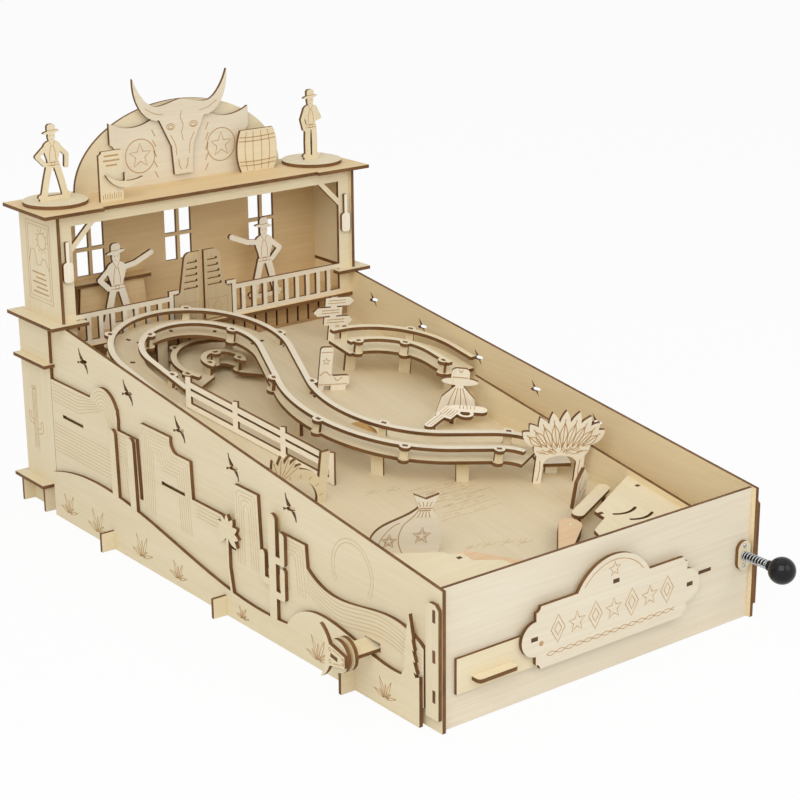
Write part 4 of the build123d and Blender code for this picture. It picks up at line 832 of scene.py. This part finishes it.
def etchFigures():
    work = startEtching()
    a, b, radius = figures["eye"]
    for x, foot, height in figures["people"]:
        unit = height / figures["units"]
        spot = personSpot(x, foot, unit)
        drawLines(work, spot, figures, figures["width"] / unit)
        for side in (-1, 1):
            patch(work, spot, ring(side * a, b, radius))
    finishPiece("figure_etching", work, engraved)


etchSign()
markSignTabs()
etchRoofBoards()
etchFigures()
print("sign, roof boards and figures etched")

# standing boards have a spot of x, y and turn; the revolver lies, and its spot ends with its height
boardLine = 0.7
bags = {
    "spot": (-74.0, 134.0, -25.0),
    "lines": {1.4: (((4.8, 38.6), (14.2, 38.6)), ((5.2, 36.9), (13.8, 36.9))),
              0.8: (((6, 40), (4, 44)), ((8.2, 40), (7.4, 44)), ((10.4, 40), (10.8, 44)),
                    ((12.6, 40), (14.2, 44)), ((6.4, 35.8), (4.2, 31)), ((8.4, 35.8), (7.4, 31)),
                    ((10.4, 35.8), (10.6, 31)), ((12.4, 35.8), (13.8, 31)))},
    "curves": {1.0: (((-4, 1), (-8, 12), (-6, 24), (2, 33), (5, 38)),),  # seam between the two bags
               0.8: (((-24, 3), (-20.5, 15), (-13, 24.5), (-8, 27)),)},
    "stars": ((1.2, 9, 16, 7.0), (0.8, 9, 16, 4.2), (1.2, -15, 12, 6.0), (0.8, -15, 12, 3.6)),
}
boot = {
    "spot": (32.0, 382.0, -20.0), "stars": ((1.0, 0, 27, 3.4),),
    "lines": {1.0: (((-4.8, 35.5), (4.8, 35.5)), ((-4.8, 5.6), (20, 5.6)))},
    "curves": {1.0: (((-4.6, 14), (0, 17.5), (4.8, 13.6)), ((8, 12.2), (11, 9), (15, 12)))},
}
signpost = {
    "spot": (98.0, 462.0, -15.0),
    "lines": {1.0: (((-5.5, 35.9), (11, 35.9)), ((-5.5, 38.5), (11, 38.5)), ((5.5, 26.7), (-11, 26.7)),
                    ((5.5, 29.3), (-11, 29.3)), ((-5.5, 17.5), (11, 17.5)), ((-5.5, 20.1), (11, 20.1)))},
}
hat = {
    "spot": (106.0, 296.0, -38.0), "lines": {1.3: (((-6.6, 33.8), (6.6, 33.8)),)},
    "curves": {1.0: (((-1.5, 40.5), (0, 38.4), (1.5, 40.5)),)},
    "half": {"curves": {1.0: (((2.88, 24), (6.3, 14), (9, 2)), ((1.024, 24), (2.24, 14), (3.2, 2)))}},
}
rock = {
    "spot": (92.0, 132.0, 25.0),
    "lines": {1.0: (((-6, 3), (-2, 10), (-5, 17), (0, 25)), ((-2, 10), (5, 12), (8, 18)),
                    ((4, 2), (6, 7), (10.5, 8)))},
}
revolver = {
    "spot": (56.0, 272.0, 24.0, 12.0), "loops": {1.0: (oblong(24.5, 38, -7.4, 2.6),)},
    "lines": {1.0: (((-1.5, 1.1), (26, 1.1)), ((43, -6.5), (47.5, -4.2)), ((44.5, -9.1), (49, -6.8)),
                    ((46, -11.7), (50.5, -9.4)), ((47.5, -14.3), (52, -12)), ((49, -16.9), (53.5, -14.6))),
              0.8: (((0, -1.5), (22, -1.5)),),
              1.3: (((26, -5.0), (36, -5.0)), ((26, -2.4), (36, -2.4)), ((26, 0.2), (36, 0.2)))},
}
bush = {
    "spot": (101.0, 166.0, -24.0),
    "leaf": {"eachSide": 4, "turn": 13, "pitch": 4.5, "foot": 33, "tall": 26, "fall": 48, "dip": -2,
             "veins": ((-3.0, 0.74), (0.0, 0.88), (3.0, 0.74))},
    "stroke": {"seed": 5, "count": 26, "start": 168, "turn": -6, "near": (3, 9), "length": (3, 6), "foot": 24,
               "wide": 1.6, "high": 0.8, "sway": 1.2, "share": 0.8},
    "half": {"curves": {1.0: (((17, 2), (15.98, 11), (16.66, 20)),)}},
}
entryArch = {
    "spot": (-113.0, 226.0, 0.0), "fan": (-12.2, 27.3), "fanTurns": range(30, 151, 20), "fanReach": (4, 19),
    "rim": (32, 33), "rimTurns": range(16, 137, 20), "rimReach": (0.84, 0.94),
}


def spread(draw, reach):
    return draw.uniform(-reach, reach)


def etchBushLeaves(work, spot):
    leaf = bush["leaf"]
    for k in range(-leaf["eachSide"], leaf["eachSide"] + 1):
        c, s = turned(leaf["turn"] * k)
        a, b = leaf["pitch"] * k, leaf["foot"]
        tall = leaf["tall"] * (1 - k * k / leaf["fall"])
        for bulge, share in leaf["veins"]:
            vein = ((leaf["dip"], 0), (tall * share * 0.5, bulge), (tall * share, 0))
            points = [(a + along * s + sway * c, b + along * c - sway * s) for along, sway in vein]
            strip(work, spot, smooth(points), boardLine)


def etchBushStrokes(work, spot):
    look = bush["stroke"]
    draw = random.Random(look["seed"])
    for k in range(look["count"]):
        turn = look["start"] + look["turn"] * (k + 0.5)
        near = draw.uniform(*look["near"])
        far = near + draw.uniform(*look["length"])
        start, end = spoke(0, look["foot"], turn, (near, far), look["wide"], look["high"])
        bend = ((start[0] + end[0]) / 2 + spread(draw, look["sway"]), (start[1] + end[1]) / 2)
        strip(work, spot, smooth((start, bend, end)), boardLine * look["share"])


def etchEntryArch(work, spot):
    for turn in entryArch["fanTurns"]:
        strip(work, spot, spoke(*entryArch["fan"], turn, entryArch["fanReach"]), boardLine)
    for turn in entryArch["rimTurns"]:
        strip(work, spot, spoke(0, 0, turn, entryArch["rimReach"], *entryArch["rim"]), boardLine)


def etchBoards():
    work = startEtching()
    for board in (bags, boot, signpost, hat, bush, rock):
        drawLines(work, standingSpot(*board["spot"]), board, boardLine)
    drawLines(work, lyingSpot(*revolver["spot"]), revolver, boardLine)
    etchBushLeaves(work, standingSpot(*bush["spot"]))
    etchBushStrokes(work, standingSpot(*bush["spot"]))
    etchEntryArch(work, standingSpot(*entryArch["spot"]))
    finishPiece("field_board_etching", work, engraved)


fieldMarks = {
    "planks": 6, "left": -18.0, "right": 42.0, "front": 160.0, "pitch": 8.0, "width": 0.7, "seed": 3,
    "leftSpread": 6, "rightSpread": 8, "bends": 6, "waver": 0.7,
    "knotInset": 8, "knotRise": 4, "knotRadius": 1.8, "knotSqueeze": 0.6,
    "grain": ((-14, 5), (-5, 4.4)), "grainShare": 0.8,
    "dashes": 44, "dashLength": (3.0, 9.0), "dashEnds": (4, 10), "dashDepth": (0.02, 0.98), "dashTilt": 0.4,
    "scrub": ((-26, 120), (-12, 117), (3, 113), (15, 107), (-40, 222), (-24, 218)), "scrubSize": (4.0, 7.5),
    "scrubBelly": (0.5, 0.6), "scrubDroop": 0.35, "ground": ((-7, -1), (-2, 0.6), (3, -0.4), (8, 0.5)),
}


def etchPlanks(work, spot, draw):
    look, wide, bends = fieldMarks, fieldMarks["width"], fieldMarks["bends"]
    for k in range(look["planks"] + 1):
        level = upField(look["front"] + look["pitch"] * k)
        left = look["left"] + spread(draw, look["leftSpread"])
        right = look["right"] + spread(draw, look["rightSpread"])
        points = [(left + (right - left) * m / bends, level + spread(draw, look["waver"]))
                  for m in range(bends + 1)]
        strip(work, spot, smooth(points), wide)
        if k < look["planks"]:
            knot = draw.uniform(left + look["knotInset"], right - look["knotInset"])
            eye = ring(knot, level + look["knotRise"], look["knotRadius"], squeeze=look["knotSqueeze"])
            strip(work, spot, eye, wide, True)
            strip(work, spot, [(knot + a, level + b) for a, b in look["grain"]], wide * look["grainShare"])


def etchDashes(work, spot, draw):
    look = fieldMarks
    deep = look["planks"] * look["pitch"]
    before, after = look["dashEnds"]
    for k in range(look["dashes"]):
        start = draw.uniform(look["left"] + before, look["right"] - after)
        level = upField(look["front"]) + deep * draw.uniform(*look["dashDepth"])
        end = start + draw.uniform(*look["dashLength"])
        strip(work, spot, [(start, level), (end, level + spread(draw, look["dashTilt"]))], look["width"])


def etchScrub(work, spot, draw):
    look, wide = fieldMarks, fieldMarks["width"]
    out, up = look["scrubBelly"]
    for a, b in look["scrub"]:
        for way in (-1, 0, 1):
            tall = draw.uniform(*look["scrubSize"])
            tip = (a + way * tall, b + tall * (1 - look["scrubDroop"] * abs(way)))
            strip(work, spot, smooth(((a + way, b), (a + way * tall * out, b + tall * up), tip)), wide)
        strip(work, spot, smooth([(a + da, b + db) for da, db in look["ground"]]), wide)


def etchField():
    work, spot, draw = startEtching(), fieldSpot(0.0), random.Random(fieldMarks["seed"])
    etchPlanks(work, spot, draw)
    etchDashes(work, spot, draw)
    etchScrub(work, spot, draw)
    finishPiece("field_etching", work, faintEtch)


tabEnds = {
    "half": (2.0, 1.5), "apron": ((122, 101), (66, 82.5), (121, 40), (-128, 97), (-70, 83), (-117, 60)),
    "loopPlane": (math.radians(11.3), 71.0, -11.0), "loopCenter": (-65.0, 423.97),
    "loopReaches": (57.0, 67.0), "loopTurns": (160, 122, 84, 46, 8),
}


def markTabEnds():
    work, apron = startEtching(), fieldSpot(layout["apronTop"])
    for x, y in tabEnds["apron"]:
        patch(work, apron, block(x, upField(y), *tabEnds["half"]))
    loop = slopedSpot(*tabEnds["loopPlane"])
    a, b = tabEnds["loopCenter"]
    for turn in tabEnds["loopTurns"]:
        c, s = turned(turn)
        for reach in tabEnds["loopReaches"]:
            corners = block(reach, 0, *tabEnds["half"])
            patch(work, loop, [(a + u * c - v * s, b + u * s + v * c) for u, v in corners])
    finishPiece("tab_ends", work, burntTab)


etchBoards()
etchField()
markTabEnds()
print("field etched")

doorMarks = {"middle": -11.0, "inner": 4.6, "outer": 24.5, "low": 153.5, "high": 168.0, "diamond": 5.0,
             "width": 0.7, "front": 497.0}


def etchDoor(side, body):
    work, spot, wide = startEtching(), frontSpot(doorMarks["front"]), doorMarks["width"]
    inner, outer = (doorMarks["middle"] + side * doorMarks[k] for k in ("inner", "outer"))
    low, high, half = doorMarks["low"], doorMarks["high"], doorMarks["diamond"]
    strip(work, spot, oblong(min(inner, outer), max(inner, outer), low, high), wide, True)
    strip(work, spot, diamond((inner + outer) / 2, (low + high) / 2, half, half), wide, True)
    finishPiece(body + "_etching", work, engraved, body)


etchDoor(-1, "left_door")
etchDoor(1, "right_door")

# a screw's rows have their share of the radius and of the dome's rise
screws = {"x": 138.5, "face": 0.7, "heights": (44.0, 60.0), "radius": 1.7, "dome": 0.9,
          "rows": ((1.0, 0.0), (1.0, 0.35), (0.86, 0.7), (0.6, 0.92), (0.3, 1.0)),
          "crossTurns": (30, 120), "crossReach": (-0.5, 0.5), "crossWidth": 0.225}


def closeTube(work, rows, sides):
    for row in range(rows - 1):
        for k in range(sides):
            here, beside = row * sides + k, row * sides + (k + 1) % sides
            work["faces"].append((here, beside, beside + sides, here + sides))
    work["faces"].append(tuple(range(sides - 1, -1, -1)))
    work["faces"].append(tuple((rows - 1) * sides + k for k in range(sides)))


def addScrew(name, height):
    work, x = startEtching(), screws["x"]
    for share, rise in screws["rows"]:
        circle = ring(x, height, screws["radius"] * share)
        work["points"] += [place(a, screws["face"] - rise * screws["dome"], b) for a, b in circle]
    closeTube(work, len(screws["rows"]), len(circle))
    finishPiece(name, work, brightSteel)
    # the cross recess is not cut; a black strip on the dome is painted shade in the recess
    cross, spot = startEtching(), frontSpot(screws["face"] - screws["dome"])
    for turn in screws["crossTurns"]:
        strip(cross, spot, spoke(x, height, turn, screws["crossReach"]), screws["crossWidth"])
    finishPiece(name + "_cross", cross, blackGloss)


for number, height in enumerate(screws["heights"], 1):
    addScrew("plate_screw_%d" % number, height)
print("doors and screws done")

spring = {"x": 138.5, "z": 52.0, "near": -23.0, "far": 0.6, "coil": 3.2, "wire": 0.5, "turns": 10,
          "flatTurns": 1, "perTurn": 28, "sides": 10, "pushed": 0.49}


def addSpring():
    look, work = spring, startEtching()
    thick, turns, flat, sides = look["wire"], look["turns"], look["flatTurns"], look["sides"]
    count = turns * look["perTurn"]
    for k in range(count + 1):
        share = min(max((k / count * (turns + 2 * flat) - flat) / turns, 0.0), 1.0)  # closed end coils
        c, s = turned(360 * k / look["perTurn"])
        y = look["near"] + thick + (look["far"] - look["near"] - 2 * thick) * share
        for m in range(sides):
            out, along = turned(360 * m / sides)
            reach = look["coil"] + thick * out
            work["points"].append(place(look["x"] + reach * c, y + thick * along, look["z"] + reach * s))
    closeTube(work, count + 1, sides)
    piece = finishPiece("plunger_coil", work, brightSteel)
    smoothShade(piece.data)
    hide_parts("plunger_spring")
    place(look["x"], look["far"], look["z"])
    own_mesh(piece)


addSpring()
print("spring wound")

cameraPlace = {"x": -900.5, "y": -921.3, "z": 628.2, "azimuth": 37.89, "elevation": 18.353, "roll": -0.431,
               "lens": 89.93, "sensor": 36.0, "clip": (0.05, 30.0)}


def addCamera():
    look = cameraPlace
    turn, drop, roll = (math.radians(look[k]) for k in ("azimuth", "elevation", "roll"))
    forward = Vector((math.sin(turn) * math.cos(drop), math.cos(turn) * math.cos(drop), -math.sin(drop)))
    right = Vector((math.cos(turn), -math.sin(turn), 0))
    up = right.cross(forward)
    tiltRight = right * math.cos(roll) + up * math.sin(roll)
    tiltUp = up * math.cos(roll) - right * math.sin(roll)
    data = bpy.data.cameras.new("photoCamera")
    data.lens = look["lens"]
    data.sensor_width = look["sensor"]
    data.sensor_fit = "HORIZONTAL"
    data.clip_start, data.clip_end = look["clip"]
    camera = bpy.data.objects.new("photoCamera", data)
    facing = Matrix((tiltRight, tiltUp, -forward)).transposed().to_4x4()
    camera.matrix_world = Matrix.Translation(place(look["x"], look["y"], look["z"])) @ facing
    scene.collection.objects.link(camera)
    scene.camera = camera


addCamera()

# each lamp has its place, its target, its power and its size
studio = {"floorHalf": 6.0, "floorGap": 0.0005, "floorGrey": 0.9, "floorRoughness": 0.9, "floorWhite": 0.93,
          "skyStrength": 0.54, "white": (1, 1, 1, 1),
          "lamps": {"keyLamp": ((-1.6, -1.3, 1.9), (0, 0, 0.15), 31.0, 2.0),
                    "fillLamp": ((0.5, -2.1, 1.5), (0, -0.1, 0.1), 11.0, 1.6),
                    "topLamp": ((0.2, 0.3, 2.4), (0, 0.1, 0.1), 2.0, 1.8)}}


def seenDirectly(tree):
    path = tree.nodes.new("ShaderNodeLightPath")
    seen = mathNode(tree, "MAXIMUM", path.outputs["Is Camera Ray"], path.outputs["Is Glossy Ray"])
    return mathNode(tree, "MAXIMUM", seen, path.outputs["Is Transmission Ray"])


def mixShaders(tree, factor, first, second, output):
    mix = tree.nodes.new("ShaderNodeMixShader")
    for socket, source in zip(mix.inputs, (factor, first.outputs[0], second.outputs[0])):
        wire(tree, source, socket)
    wire(tree, mix.outputs[0], tree.nodes[output].inputs["Surface"])


def addFloor():
    half, grey = studio["floorHalf"], studio["floorGrey"]
    mesh = bpy.data.meshes.new("studioFloor")
    mesh.from_pydata([(x, y, 0) for x, y in oblong(-half, half, -half, half)], [], [(0, 1, 2, 3)])
    floor = bpy.data.objects.new("studioFloor", mesh)
    floor.location.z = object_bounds()[0][2] - studio["floorGap"]
    scene.collection.objects.link(floor)
    material, tree, shader = startMaterial("floorPaper")
    setInputs(shader, {"Base Color": (grey, grey, grey, 1), "Roughness": studio["floorRoughness"],
                       "Specular IOR Level": 0.0})
    glow = tree.nodes.new("ShaderNodeEmission")
    seen = mathNode(tree, "MULTIPLY", seenDirectly(tree), studio["floorWhite"])  # the rest keeps the shadow
    mixShaders(tree, seen, shader, glow, "Material Output")
    mesh.materials.append(material)


def addWorld():
    world = bpy.data.worlds.new("studioSky")
    world.use_nodes = True
    tree = world.node_tree
    plain = tree.nodes["Background"]
    setInputs(plain, {"Color": studio["white"], "Strength": studio["skyStrength"]})
    white = tree.nodes.new("ShaderNodeBackground")
    setInputs(white, {"Color": studio["white"], "Strength": 1.0})
    mixShaders(tree, seenDirectly(tree), plain, white, "World Output")
    scene.world = world


def addLamp(name, spot, target, power, size):
    data = bpy.data.lights.new(name, "AREA")
    data.energy, data.size = power, size
    lamp = bpy.data.objects.new(name, data)
    lamp.location = spot
    lamp.rotation_euler = (Vector(target) - Vector(spot)).to_track_quat("-Z", "Y").to_euler()
    scene.collection.objects.link(lamp)


addFloor()
addWorld()
for lampName, lampLook in studio["lamps"].items():
    addLamp(lampName, *lampLook)
scene.view_settings.view_transform = "Standard"
print("studio set")
